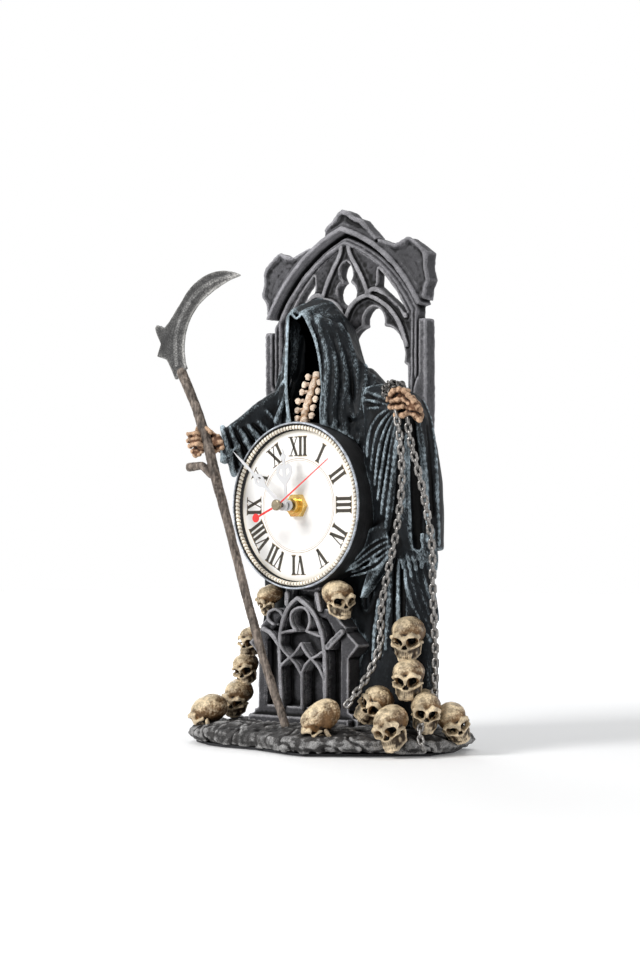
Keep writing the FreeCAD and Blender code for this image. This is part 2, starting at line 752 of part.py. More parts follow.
def arch_point(radius, height, side=1):
    """The point of an arch line at a height: each side is an arc about a centre beyond the middle."""
    rise = float(height - d.arch_spring)
    reach = math.sqrt(float(radius) ** 2 - rise ** 2) - float(d.arch_offset)
    return (side * reach, float(height))


def arch_outline(radius, low, ends):
    """Corners and arcs of a pointed outline that closes through the given lower corners."""
    apex_height = d.arch_spring + math.sqrt(float(radius) ** 2 - float(d.arch_offset) ** 2)
    middle = (low + apex_height) / 2
    right, left = arch_point(radius, low), arch_point(radius, low, -1)
    apex = (0.0, float(apex_height))
    arcs = [(arch_point(radius, middle), apex), (arch_point(radius, middle, -1), left)]
    return [right] + arcs + [(-x, z) for x, z in ends] + list(reversed(ends))


def jamb_height(radius):
    """Where an arch line meets the inner face of its column."""
    reach = float(d.column_inner + d.arch_offset)
    return d.arch_spring + math.sqrt(float(radius) ** 2 - reach ** 2)


column_low = base_top - d.base_height / 2
column_foot = (float(d.column_outer), float(column_low))
shoulder = [(float(d.column_outer - d.label_notch), float(d.label_end)),
            (float(d.column_outer - d.label_notch), float(d.column_top)),
            (float(d.column_outer), float(d.column_top)), column_foot]
outer_face = flat_shape(arch_outline(d.arch_radius, d.label_end, shoulder), 1, 1)
jamb_foot = [(float(d.column_inner), float(column_low - d.overrun))]
inner_face = flat_shape(arch_outline(inner_radius, jamb_height(inner_radius), jamb_foot), 1, 1)
arch_frame = thicken(outer_face.cut(inner_face), d.arch_front, d.arch_thickness)
rock_base = carved(rock_base, plinth.Shape, arch_frame)
feature("rock_base", rock_base)
feature("plinth_tracery", carved(plinth_tracery, rock_base))
feature("arch_frame", arch_frame)

mould_outer = flat_shape(arch_outline(d.arch_radius, d.label_end, [arch_point(d.arch_radius -
                         d.mould_width, d.label_end)]), 1, 1)
mould_inner = flat_shape(arch_outline(d.arch_radius - d.mould_width, d.label_end - d.overrun, []), 1, 1)
feature("hood_mould", thicken(mould_outer.cut(mould_inner), d.arch_front - d.mould_relief, d.mould_relief))

head = flat_shape(arch_outline(inner_radius, jamb_height(inner_radius),
                               [(float(d.column_inner), float(back_fill_height))]), 1, 1)
light_rise = math.sqrt(float(inner_radius) ** 2 - float(d.arch_offset) ** 2)
for outline in (CENTRE_LIGHT_SHARES, SPANDREL_SHARES, SIDE_LIGHT_SHARES):
    for mirrored in (False, True):
        head = head.cut(flat_shape(outline, d.column_inner, light_rise, d.arch_spring, mirrored))
arch_tracery = carved(thicken(head, d.arch_front + d.tracery_inset, d.tracery_thickness))
feature("arch_tracery", arch_tracery)


def ornament(shares, mirrored=False):
    """A leaf of the arch's outer edge, cut back to the arch."""
    half_width = d.arch_radius - d.arch_offset
    rise = math.sqrt(float(d.arch_radius) ** 2 - float(d.arch_offset) ** 2)
    face = flat_shape(shares, half_width, rise, d.arch_spring, mirrored)
    filled = outer_face.fuse(inner_face)
    return carved(thicken(face.cut(filled), d.arch_front, d.arch_thickness))


feature("finial", ornament(FINIAL_SHARES))
feature("crockets", Part.Compound([ornament(CROCKET_SHARES), ornament(CROCKET_SHARES, True)]))


# Drum and dial, turned about the dial's axis

def turned(name, corners):
    """A body of revolution about the dial's axis, from corners given as radius and place along Y."""
    body = new_body(name, 0, 0, d.dial_height)
    profile = sketch(body, "XY_Plane")
    polygon(profile, corners)
    revolve(body, profile)
    return body


rim_inner = d.drum_radius - d.rim_width
bead_circle = rim_inner - d.bead_radius
dial_seat = bead_circle - d.bead_radius
bead_seat = dial_front - d.dial_thickness
bush_hole = d.bush_radius + d.part_gap
turned("drum", [
    (bush_hole, web_front), (dial_seat, web_front), (dial_seat, bead_seat), (rim_inner, bead_seat),
    (rim_inner, rim_front), (d.drum_radius - d.rim_width / 4, rim_front),
    (d.drum_radius, rim_front + d.rim_width / 4), (d.drum_radius, drum_back),
    (d.drum_radius - d.drum_wall, drum_back), (d.drum_radius - d.drum_wall, web_back),
    (bush_hole, web_back),
])
bead_ring = new_body("bead_ring", 0, 0, d.dial_height)
bead_profile = sketch(bead_ring, "XY_Plane")
circle(bead_profile, d.bead_radius - d.bead_gap, bead_circle, bead_seat - d.bead_radius)
revolve(bead_ring, bead_profile)
turned("dial", [
    (bush_hole, dial_front), (dial_seat - d.dial_gap, dial_front), (dial_seat - d.dial_gap, web_front),
    (bush_hole, web_front),
])


# Movement case, cover and fixings
case_half = d.case_width / 2
case_inner = case_half - d.case_wall
bay_height = (d.battery_radius + d.bay_gap) * 2
bay_top = bay_height - case_inner
battery_height = bay_top - d.battery_radius - d.bay_gap
chamber_low = bay_top + d.case_wall

case = new_body("movement_case", 0, 0, d.dial_height)
case_outline = sketch(case, "XZ_Plane", case_back)
rectangle(case_outline, -case_half, case_half, -case_half, case_half)
pad(case, case_outline, d.case_depth)
chamber = sketch(case, "XZ_Plane", chamber_front)
rectangle(chamber, -case_inner, case_inner, chamber_low, case_inner)
pocket(case, chamber, d.case_depth)
bay = sketch(case, "XZ_Plane", chamber_front)
rectangle(bay, -case_inner, case_inner, -case_inner, bay_top)
pocket(case, bay, d.case_depth)
bush_seat = sketch(case, "XZ_Plane", case_front - d.overrun)
circle(bush_seat, d.bush_radius + d.fit_gap)
pocket(case, bush_seat, d.case_wall + d.overrun * 2)


# Places of the arbors about the dial's centre

def teeth(name):
    return TEETH[name]


def centre_distance(module, first, second):
    return module * ((teeth(first) + teeth(second)) / 2)


def polar(distance, angle_name, start=(0, 0)):
    """A point at a distance and angle from another, anticlockwise from three o'clock."""
    angle = math.radians(ANGLES[angle_name])
    return start[0] + distance * math.cos(angle), start[1] + distance * math.sin(angle)


setting_distance = centre_distance(d.setting_module, "cannon_pinion", "minute_wheel")
third_distance = centre_distance(d.third_module, "fourth_pinion", "third_wheel")
fifth_distance = centre_distance(d.fourth_module, "fourth_wheel", "fifth_pinion")
rotor_distance = centre_distance(d.fifth_module, "fifth_wheel", "rotor_pinion")
centre_module = third_distance * (2 / (teeth("third_pinion") + teeth("centre_wheel")))
hour_module = setting_distance * (2 / (teeth("minute_pinion") + teeth("hour_wheel")))
minute_place = polar(setting_distance, "minute_arbor")
third_place = polar(third_distance, "third_arbor")
fifth_place = polar(fifth_distance, "fifth_arbor")
rotor_place = polar(rotor_distance, "fifth_arbor", fifth_place)
pivot_skin = d.case_wall / 3
pivot_front = case_front + pivot_skin
pivot_back = case_back - pivot_skin
pivot_radius = d.arbor_radius + d.fit_gap
blind_places = [third_place, fifth_place, rotor_place]

front_pivots = sketch(case, "XZ_Plane", pivot_front)
for across, up in blind_places + [minute_place]:
    circle(front_pivots, pivot_radius, across, up)
pocket(case, front_pivots, d.case_wall)

cover = new_body("movement_cover", 0, 0, d.dial_height)
cover_outline = sketch(cover, "XZ_Plane", case_back)
rectangle(cover_outline, d.fit_gap - case_inner, case_inner - d.fit_gap, chamber_low + d.fit_gap,
          case_inner - d.fit_gap)
pad(cover, cover_outline, d.case_wall)
back_pivots = sketch(cover, "XZ_Plane", cover_front - d.overrun)
for across, up in blind_places:
    circle(back_pivots, pivot_radius, across, up)
circle(back_pivots, d.second_shaft_radius + d.fit_gap)
pocket(cover, back_pivots, d.overrun + d.case_wall - pivot_skin)
knob_hole = sketch(cover, "XZ_Plane", cover_front - d.overrun)
circle(knob_hole, pivot_radius, minute_place[0], minute_place[1])
pocket(cover, knob_hole, d.case_wall + d.overrun * 2)

turned("rubber_washer", [(bush_hole, web_back), (d.washer_radius, web_back),
                         (d.washer_radius, case_front), (bush_hole, case_front)])
bush_bore = d.hour_pipe_radius + d.fit_gap
turned("threaded_bush", [(bush_bore, case_front - d.bush_length), (d.bush_radius, case_front - d.bush_length),
                         (d.bush_radius, chamber_front), (bush_bore, chamber_front)])


def along_y(item, x=0, y=0, z=0):
    """Lay an upright primitive along the dial's axis, pointing to the front."""
    item.Placement = FreeCAD.Placement(FreeCAD.Vector(), FreeCAD.Rotation(FreeCAD.Vector(1, 0, 0), 90))
    put(item, x, y, z)


# Hex nut from primitives: a prism rounded by a cone, with the bush's hole
nut_corner = d.nut_flats * (1 / math.sqrt(3))
prism = doc.addObject("Part::Prism", "nut_prism")
prism.Polygon = 6
bind(prism, "Circumradius", nut_corner)
bind(prism, "Height", d.nut_thickness)
along_y(prism, 0, dial_front, d.dial_height)
nut_cone = doc.addObject("Part::Cone", "nut_cone")
bind(nut_cone, "Radius1", nut_corner + d.nut_thickness)
bind(nut_cone, "Radius2", d.nut_flats / 2)
bind(nut_cone, "Height", d.nut_thickness)
along_y(nut_cone, 0, dial_front, d.dial_height)
nut_blank = doc.addObject("Part::MultiCommon", "nut_blank")
nut_blank.Shapes = [prism, nut_cone]
nut_bore = doc.addObject("Part::Cylinder", "nut_bore")
bind(nut_bore, "Radius", d.bush_radius + d.fit_gap)
bind(nut_bore, "Height", d.nut_thickness + d.overrun * 2)
along_y(nut_bore, 0, dial_front + d.overrun, d.dial_height)
nut = doc.addObject("Part::Cut", "hex_nut")
nut.Label = "hex_nut"
nut.Base = nut_blank
nut.Tool = nut_bore


# Battery and its contacts

def along_x(item, x, y, z):
    """Lay an upright primitive along X."""
    item.Placement = FreeCAD.Placement(FreeCAD.Vector(), FreeCAD.Rotation(FreeCAD.Vector(0, 1, 0), 90))
    put(item, x, y, z)


battery_y = chamber_front + d.battery_radius + d.fit_gap
battery_z = d.dial_height + battery_height
cell = doc.addObject("Part::Cylinder", "battery_can")
bind(cell, "Radius", d.battery_radius)
bind(cell, "Height", d.battery_length - d.battery_nub_length)
along_x(cell, -d.battery_length / 2, battery_y, battery_z)
nub = doc.addObject("Part::Cylinder", "battery_nub")
bind(nub, "Radius", d.battery_nub_radius)
bind(nub, "Height", d.battery_nub_length)
along_x(nub, d.battery_length / 2 - d.battery_nub_length, battery_y, battery_z)
battery = doc.addObject("Part::Fuse", "battery")
battery.Label = "battery"
battery.Base = cell
battery.Tool = nub

contact_thickness = case_inner - d.battery_length / 2 - d.part_gap
contacts = doc.addObject("Part::Fuse", "battery_contacts")
contacts.Label = "battery_contacts"
plates = []
for name, left in (("minus_contact", -case_inner), ("plus_contact", case_inner - contact_thickness)):
    plate = doc.addObject("Part::Box", name)
    bind(plate, "Length", contact_thickness)
    bind(plate, "Width", d.battery_radius * CONTACT_SHARES[0])
    bind(plate, "Height", d.battery_radius * CONTACT_SHARES[1])
    put(plate, left, chamber_front, battery_z - d.battery_radius * (CONTACT_SHARES[1] / 2))
    plates.append(plate)
contacts.Base, contacts.Tool = plates


# Circuit board, stator and coil

board = doc.addObject("Part::Box", "circuit_board")
board.Label = "circuit_board"
bind(board, "Length", d.board_width)
bind(board, "Width", d.board_thickness)
bind(board, "Height", d.board_height)
put(board, d.part_gap - case_inner, cover_front - d.board_thickness, d.dial_height + chamber_low + d.part_gap)


def level(index):
    """The middle plane of a layer of wheels, counted from the front."""
    return chamber_front + d.first_level + d.level_pitch * index


rotor_front = level(5) + d.pinion_thickness / 2 + d.part_gap
stator_front = rotor_front + (d.rotor_length - d.stator_thickness) / 2
plate_left = rotor_place[0] - d.stator_width / 2
plate_right = rotor_place[0] + d.stator_width / 2
core_low = rotor_place[1] + d.core_rise
core_top = core_low + d.core_height
core_left = plate_left - d.coil_length - d.part_gap * 2
stator = new_body("stator", 0, 0, d.dial_height)
stator_outline = sketch(stator, "XZ_Plane", stator_front + d.stator_thickness)
plate_low = rotor_place[1] - d.rotor_radius - d.stator_gap * 3
polygon(stator_outline, [(core_left, core_low), (plate_left, core_low), (plate_left, plate_low),
                         (plate_right, plate_low), (plate_right, core_top), (core_left, core_top)])
circle(stator_outline, d.rotor_radius + d.stator_gap, rotor_place[0], rotor_place[1])
pad(stator, stator_outline, d.stator_thickness)

core_y = stator_front + d.stator_thickness / 2
core_z = d.dial_height + core_low + d.core_height / 2
winding = doc.addObject("Part::Cylinder", "coil_winding")
bind(winding, "Radius", d.coil_radius)
bind(winding, "Height", d.coil_length)
along_x(winding, core_left + d.part_gap, core_y, core_z)
coil_bore = doc.addObject("Part::Box", "coil_bore")
bind(coil_bore, "Length", d.coil_length + d.overrun * 2)
bind(coil_bore, "Width", d.stator_thickness + d.fit_gap * 2)
bind(coil_bore, "Height", d.core_height + d.fit_gap * 2)
put(coil_bore, core_left + d.part_gap - d.overrun, stator_front - d.fit_gap,
    d.dial_height + core_low - d.fit_gap)
coil = doc.addObject("Part::Cut", "coil")
coil.Label = "coil"
coil.Base = winding
coil.Tool = coil_bore


# Wheels and pinions

def gear(name, module, phase, place, index, thickness):
    """A toothed disc in a layer of the movement; the phase is the angle of its first tooth."""
    count = teeth(name)
    radius = module * (count / 2)
    pitch = 2 * math.pi / count
    form = [(radius - module * DEDENDUM_SHARE, -TOOTH_ROOT_SHARE), (radius, -TOOTH_PITCH_SHARE),
            (radius + module * ADDENDUM_SHARE, -TOOTH_TIP_SHARE),
            (radius + module * ADDENDUM_SHARE, TOOTH_TIP_SHARE), (radius, TOOTH_PITCH_SHARE),
            (radius - module * DEDENDUM_SHARE, TOOTH_ROOT_SHARE)]
    front = level(index) - thickness / 2
    corners = []
    for tooth in range(count):
        for reach, share in form:
            angle = phase + pitch * (tooth + share / 2)
            corners.append(vector(place[0] + reach * math.cos(angle), front,
                                  d.dial_height + place[1] + reach * math.sin(angle)))
    face = Part.Face(Part.makePolygon(corners + corners[:1]))
    return face.extrude(vector(0, thickness, 0))


def meshing_phase(driver, driver_phase, follower, direction):
    """The phase that puts a gap of the follower opposite a tooth of its driver."""
    place_in_tooth = ((direction - driver_phase) * teeth(driver) / (2 * math.pi)) % 1
    return direction + math.pi - 2 * math.pi / teeth(follower) * (0.5 - place_in_tooth)


def axle(radius, front, back, place=(0, 0)):
    return rod(radius, front, back, place[0], d.dial_height + place[1])


minute_angle = math.radians(ANGLES["minute_arbor"])
third_angle = math.radians(ANGLES["third_arbor"])
fifth_angle = math.radians(ANGLES["fifth_arbor"])
fifth_pinion_phase = meshing_phase("fourth_wheel", 0, "fifth_pinion", fifth_angle)
rotor_phase = meshing_phase("fifth_wheel", 0, "rotor_pinion", fifth_angle)
third_wheel_phase = meshing_phase("fourth_pinion", 0, "third_wheel", third_angle)
centre_phase = meshing_phase("third_pinion", 0, "centre_wheel", third_angle + math.pi)
minute_wheel_phase = meshing_phase("cannon_pinion", 0, "minute_wheel", minute_angle)
hour_phase = meshing_phase("minute_pinion", 0, "hour_wheel", minute_angle + math.pi)
wheel = d.wheel_thickness
pinion = d.pinion_thickness
arbor_front = pivot_front + d.fit_gap
arbor_back = pivot_back - d.fit_gap

hour_y = dial_front - d.hour_hand_reach
minute_y = hour_y - d.hand_pitch
second_y = minute_y - d.hand_pitch

magnet = axle(d.rotor_radius, rotor_front, rotor_front + d.rotor_length, rotor_place)
feature("rotor", magnet.multiFuse([
    gear("rotor_pinion", d.fifth_module, rotor_phase, rotor_place, 5, pinion),
    axle(d.arbor_radius, arbor_front, arbor_back, rotor_place)]))
feature("fifth_wheel", gear("fifth_wheel", d.fifth_module, 0, fifth_place, 5, wheel).multiFuse([
    gear("fifth_pinion", d.fourth_module, fifth_pinion_phase, fifth_place, 4, pinion),
    axle(d.arbor_radius, arbor_front, arbor_back, fifth_place)]))
feature("fourth_wheel", gear("fourth_wheel", d.fourth_module, 0, (0, 0), 4, wheel).multiFuse([
    gear("fourth_pinion", d.third_module, 0, (0, 0), 3, pinion),
    axle(d.second_shaft_radius, second_y - d.hand_thickness, arbor_back)]))
third_disc = gear("third_wheel", d.third_module, third_wheel_phase, third_place, 3, wheel)
feature("third_wheel", third_disc.multiFuse([
    gear("third_pinion", centre_module, 0, third_place, 2, pinion),
    axle(d.arbor_radius, arbor_front, arbor_back, third_place)]))

centre_bore = axle(d.minute_pipe_radius + d.fit_gap, level(2) - pinion, level(2) + pinion)
feature("centre_wheel", gear("centre_wheel", centre_module, centre_phase, (0, 0), 2, wheel).cut(centre_bore))
minute_bore = axle(d.second_shaft_radius + d.fit_gap, minute_y - d.collar_height, level(3))
cannon = gear("cannon_pinion", d.setting_module, 0, (0, 0), 1, pinion)
cannon = cannon.fuse(axle(d.minute_pipe_radius, minute_y - d.hand_thickness, level(2) + pinion / 2))
feature("cannon_pinion", cannon.cut(minute_bore))
minute_work = gear("minute_wheel", d.setting_module, minute_wheel_phase, minute_place, 1, wheel)
knob_front = case_back + d.part_gap
knob_back = knob_front + d.knob_thickness
feature("minute_wheel", minute_work.multiFuse([
    gear("minute_pinion", hour_module, 0, minute_place, 0, pinion),
    axle(d.arbor_radius, arbor_front, knob_back, minute_place)]))
hour_bore = axle(d.minute_pipe_radius + d.fit_gap, hour_y - d.collar_height, level(1))
hour_wheel = gear("hour_wheel", hour_module, hour_phase, (0, 0), 0, wheel)
hour_wheel = hour_wheel.fuse(axle(d.hour_pipe_radius, hour_y - d.hand_thickness, level(0) + wheel / 2))
feature("hour_wheel", hour_wheel.cut(hour_bore))

knob = new_body("set_knob", minute_place[0], 0, d.dial_height + minute_place[1])
knob_disc = sketch(knob, "XZ_Plane", knob_back)
circle(knob_disc, d.knob_radius)
circle(knob_disc, d.arbor_radius)
pad(knob, knob_disc, d.knob_thickness)
knob_groove = sketch(knob, "XZ_Plane", knob_front - d.overrun)
circle(knob_groove, d.knob_notch, d.knob_radius)
groove_cut = pocket(knob, knob_groove, d.knob_thickness + d.overrun * 2)
doc.recompute()
knurl = knob.newObject("PartDesign::PolarPattern", "set_knob_knurl")
knurl.Originals = [groove_cut]
knurl.Axis = (knob_groove, ["N_Axis"])
knurl.Angle = 360
knurl.Occurrences = KNOB_NOTCHES
knob.Tip = knurl


# Hands: a stamped blade, a collar behind it and the hole for its pipe

HOUR_HAND_SHARES = [(0.10, 0.0), (0.07, 0.36), (0.30, 0.45), (0.50, 0.56), (0.46, 0.68), (0.24, 0.74),
                    (0.08, 0.70), (0.08, 0.80), (0.18, 0.86), (0.05, 0.92), (0.0, 1.0)]
HOUR_EYE_SHARES = [(0.10, 0.50), (0.34, 0.58), (0.28, 0.65), (0.12, 0.64)]
MINUTE_HAND_SHARES = [(0.20, 0.0), (0.14, 0.34), (0.46, 0.42), (0.5, 0.48), (0.14, 0.56), (0.12, 0.80),
                      (0.0, 1.0)]
MINUTE_EYE_SHARES = [(0.08, 0.44), (0.27, 0.455), (0.27, 0.47), (0.08, 0.50)]


def hand(name, angle_name, front, shares, eye_shares, width, length, bore):
    """A hand pointing at twelve, then turned clockwise to its place."""
    body = new_body(name)
    turn = FreeCAD.Rotation(FreeCAD.Vector(0, 1, 0), ANGLES[angle_name])
    body.Placement = FreeCAD.Placement(FreeCAD.Vector(), turn)
    put(body, 0, 0, d.dial_height)
    blade = sketch(body, "XZ_Plane", front)
    right = [(width * x, length * z) for x, z in shares]
    left = [(width * -x, length * z) for x, z in reversed(shares[:-1])]
    polygon(blade, right + left)
    for side in (1, -1):
        if eye_shares:
            polygon(blade, [(width * (side * x), length * z) for x, z in eye_shares])
    pad(body, blade, d.hand_thickness)
    collar = sketch(body, "XZ_Plane", front + d.collar_height)
    circle(collar, d.collar_radius)
    pad(body, collar, d.collar_height + d.hand_thickness)
    hole = sketch(body, "XZ_Plane", front - d.hand_thickness - d.overrun)
    circle(hole, bore)
    pocket(body, hole, d.collar_height + d.hand_thickness + d.overrun * 2)
    return body


hand("hour_hand", "hour_hand", hour_y, HOUR_HAND_SHARES, HOUR_EYE_SHARES, d.hour_hand_width,
     d.hour_hand_length, d.hour_pipe_radius)
hand("minute_hand", "minute_hand", minute_y, MINUTE_HAND_SHARES, MINUTE_EYE_SHARES, d.minute_hand_width,
     d.minute_hand_length, d.minute_pipe_radius)

second = new_body("second_hand")
second.Placement = FreeCAD.Placement(FreeCAD.Vector(), FreeCAD.Rotation(FreeCAD.Vector(0, 1, 0),
                                                                       ANGLES["second_hand"]))
put(second, 0, 0, d.dial_height)
needle = sketch(second, "XZ_Plane", second_y)
half_needle = d.second_hand_width / 2
polygon(needle, [(-half_needle, -d.second_tail_length), (half_needle, -d.second_tail_length),
                 (half_needle, 0), (half_needle / 2, d.second_hand_length),
                 (-half_needle / 2, d.second_hand_length), (-half_needle, 0)])
pad(second, needle, d.hand_thickness)
tail_disc = sketch(second, "XZ_Plane", second_y)
circle(tail_disc, d.second_tail_radius, 0, -d.second_tail_length)
pad(second, tail_disc, d.hand_thickness)
cap = sketch(second, "XZ_Plane", second_y)
circle(cap, d.cap_radius)
pad(second, cap, d.cap_height + d.hand_thickness)
stem = sketch(second, "XZ_Plane", second_y + d.collar_height)
circle(stem, d.collar_radius / 2)
pad(second, stem, d.collar_height)
socket = sketch(second, "XZ_Plane", second_y - d.hand_thickness)
circle(socket, d.second_shaft_radius)
pocket(second, socket, d.hand_thickness + d.collar_height + d.overrun)
doc.recompute()


# Figure

def figure(share_x, share_y, share_z):
    """A point of the figure from its shares of reach, depth and height."""
    return vector(share_x * d.robe_reach, share_y * d.robe_depth, share_z * d.hood_height)


def squared(angle):
    """Cosine and sine pushed outwards, for a rounded rectangle in place of an ellipse."""
    pair = []
    for part in (math.cos(angle), math.sin(angle)):
        pair.append(math.copysign(abs(part) ** ROBE_SQUARE_SHARE, part))
    return pair


def folded_ring(left, right, front, back, height, points, folds, fold_share):
    """A level ring of cloth: a rounded rectangle whose front half is pleated."""
    ring = []
    for index in range(points):
        angle = 2 * math.pi * index / points
        across, deep = squared(angle)
        pleat = 1 + (fold_share * math.cos(folds * angle) if deep < PLEAT_SHARE else 0)
        ring.append(vector((left + right) / 2 + (right - left) / 2 * across * pleat,
                           (front + back) / 2 + (back - front) / 2 * deep * pleat, height))
    return ring


def level_rings(shares, points, folds, fold_share):
    return [folded_ring(left * d.robe_reach, right * d.robe_reach, front * d.robe_depth,
                        back * d.robe_depth, height * d.hood_height, points, folds, fold_share)
            for height, left, right, front, back in shares]


drum_blank = rod(d.drum_radius, rim_front - d.drum_front, drum_back, 0, d.dial_height)
hand_sweep = rod(d.minute_hand_length + d.part_gap * 3, rim_front - d.drum_front * 2, rim_front, 0,
                 d.dial_height)
well_half = case_half + d.part_gap
well = block(-well_half, well_half, drum_back, arch_back + d.overrun, d.dial_height - well_half,
             d.dial_height + well_half)
back_fill = block(-d.column_inner, d.column_inner, d.arch_front - d.overrun,
                  d.arch_front + d.tracery_inset + d.tracery_thickness, column_low, back_fill_height)
cloth = faceted(level_rings(ROBE_SHARES, ROBE_POINTS, ROBE_FOLDS, ROBE_FOLD_SHARE))
robe = carved(cloth.fuse(back_fill), rock_base, plinth.Shape, arch_frame, arch_tracery, drum_blank, well)
feature("robe", robe)

hood_outlines = [HOOD_FRONT_SHARES, HOOD_FRONT_SHARES, HOOD_CROWN_SHARES, HOOD_BACK_SHARES]


def hood_ring(shares, depth_share, spread):
    """An upright ring of the hood, spread about its own middle."""
    points = [figure(x, depth_share, z) for x, z in shares]
    middle = sum(points, FreeCAD.Vector()) / len(points)
    return [middle + (point - middle) * spread for point in points]


hood_outer = faceted([hood_ring(shares, depth, spread) for shares, depth, spread in
                      zip(hood_outlines, HOOD_DEPTH_SHARES, HOOD_SPREAD_SHARES)])
hollow_outlines = [HOOD_FRONT_SHARES, HOOD_FRONT_SHARES, HOOD_CROWN_SHARES]
hollow = faceted([hood_ring(shares, depth, spread) for shares, depth, spread in
                  zip(hollow_outlines, HOLLOW_DEPTH_SHARES, HOLLOW_SPREAD_SHARES)])
hood = carved(hood_outer.cut(hollow), robe, drum_blank, arch_frame, arch_tracery)
feature("hood", hood)

left_cloth = faceted(level_rings(LEFT_SLEEVE_SHARES, SLEEVE_POINTS, SLEEVE_FOLDS, SLEEVE_FOLD_SHARE))
hem = flat_shape(HEM_SHARES, d.robe_reach, d.hood_height)
hem = thicken(hem, -d.robe_depth / 3, d.robe_depth / 3)
left_sleeve = carved(left_cloth.fuse(hem), robe, drum_blank, well, hand_sweep, arch_frame, hood, plinth.Shape)
feature("left_sleeve", left_sleeve)


def upright_ring(x, y, z, half_depth, half_height):
    """An upright oval section of the raised sleeve, pleated."""
    ring = []
    for index in range(SLEEVE_POINTS):
        angle = 2 * math.pi * index / SLEEVE_POINTS
        pleat = 1 + SLEEVE_FOLD_SHARE * math.cos(SLEEVE_FOLDS * angle)
        ring.append(vector(x, y + half_depth * math.cos(angle) * pleat,
                           z + half_height * math.sin(angle) * pleat))
    return ring


right_rings = [upright_ring(x * d.robe_reach, y * d.robe_depth, z * d.hood_height, deep * d.robe_depth,
                            high * d.hood_height) for x, y, z, high, deep in RIGHT_SLEEVE_SHARES]
right_sleeve = carved(faceted(right_rings), robe, drum_blank, well, hand_sweep, hood, arch_frame)
feature("right_sleeve", right_sleeve)

neck, waist = [figure(*shares) for shares in BREASTBONE_SHARES]
breastbone = bone(neck, waist, d.rib_radius * RIB_ROOT_SHARES[0], d.rib_radius)
ribs = []
for index in range(RIB_COUNT):
    middle = neck + (waist - neck) * ((index + 1) / (RIB_COUNT + 1))
    for side in (-1, 1):
        tip = middle + vector(side * RIB_REACH_SHARE * d.robe_reach, d.rib_radius, -d.rib_radius)
        ribs.append(bone(middle, tip, d.rib_radius * RIB_ROOT_SHARES[1], d.rib_radius))
breastbone = breastbone.multiFuse(ribs)
feature("breastbone", carved(breastbone, robe, hood, drum_blank))


# Scythe

def pole_point(x_share, y_share, z_share):
    return vector(x_share * d.hood_height, y_share * d.blade_plane, z_share * d.hood_height)


pole_points = [pole_point(*shares) for shares in POLE_SHARES]
pole = tube_along(pole_points, [d.pole_radius * share for share in POLE_RADIUS_SHARES], POLE_SIDES)
stub_points = [pole_point(*shares) for shares in STUB_SHARES]
stub = tube_along(stub_points, [d.stub_radius * share for share in STUB_RADIUS_SHARES], POLE_SIDES)
pole = carved(pole.fuse(stub), rock_base)
feature("scythe_pole", pole)
blade_front = -d.blade_plane - d.blade_thickness / 2
blade = thicken(flat_shape(BLADE_SHARES, d.hood_height, d.hood_height), blade_front, d.blade_thickness)
blade = carved(blade, pole)
feature("scythe_blade", blade)
rivet_x, rivet_z = [share * d.hood_height for share in RIVET_SHARES]
feature("blade_rivet", rod(d.rivet_radius, blade_front - d.rivet_height, blade_front, rivet_x, rivet_z))


# Bones of the hands

def fist(centre_shares, wrist_shares, grip_direction):
    """A closed fist of four curled fingers, a thumb and two forearm bones."""
    centre = figure(*centre_shares)
    wrist = figure(*wrist_shares)
    arm = (wrist - centre).normalize()
    along = grip_direction.normalize()
    out = along.cross(arm).normalize()
    elbow = wrist + out * float(d.wrist_radius * FOREARM_SHARES[0])
    heel = centre + arm * float(d.palm_radius)
    pieces = [bone(elbow, heel, d.wrist_radius, d.wrist_radius * FOREARM_SHARES[1])]
    joints = [d.finger_radius * share for share in FINGER_TAPER_SHARES]
    pitch = float(d.finger_radius) * FINGER_PITCH_SHARE
    for index in range(FINGER_COUNT):
        row = centre + along * (pitch * (index - (FINGER_COUNT - 1) / 2))
        knuckle = row + arm * float(d.palm_radius) - out * float(d.palm_radius * PALM_SHARES[0])
        middle = row - out * float(d.palm_radius)
        bend = row - arm * float(d.palm_radius)
        tip = row + out * float(d.palm_radius * PALM_SHARES[1])
        spots = [knuckle, middle, bend, tip]
        for near in range(len(spots) - 1):
            pieces.append(bone(spots[near], spots[near + 1], joints[near], joints[near + 1]))
    ball = centre + arm * float(d.palm_radius * PALM_SHARES[3])
    palm = Part.makeSphere(float(d.palm_radius * PALM_SHARES[2]), ball)
    return palm.multiFuse(pieces)


right_hand = fist(RIGHT_FIST_SHARES, RIGHT_WRIST_SHARES, pole_points[-3] - pole_points[-4])
right_hand = carved(right_hand, pole, right_sleeve)
feature("right_hand", right_hand)
left_hand = fist(LEFT_FIST_SHARES, LEFT_WRIST_SHARES, FreeCAD.Vector(*LEFT_GRIP_SHARES))
left_hand = carved(left_hand, left_sleeve, robe, arch_frame)
feature("left_hand", left_hand)


# Chains

def chain_link():
    """One oval link standing along Z."""
    wire_radius = float(d.link_wire / 2)
    bend = float(d.link_width / 2 - d.link_wire / 2)
    straight = float(d.link_length - d.link_width) / 2
    across = FreeCAD.Vector(0, 1, 0)
    pieces = []
    for side in (-1, 1):
        start = FreeCAD.Vector(side * bend, 0, -straight)
        pieces.append(Part.makeCylinder(wire_radius, 2 * straight, start, FreeCAD.Vector(0, 0, 1)))
        centre = FreeCAD.Vector(0, 0, side * straight)
        half = Part.makeTorus(bend, wire_radius, centre, across, -180, 180, 180)
        if side > 0:
            half.rotate(centre, across, 180)
        pieces.append(half)
    return pieces[0].multiFuse(pieces[1:])


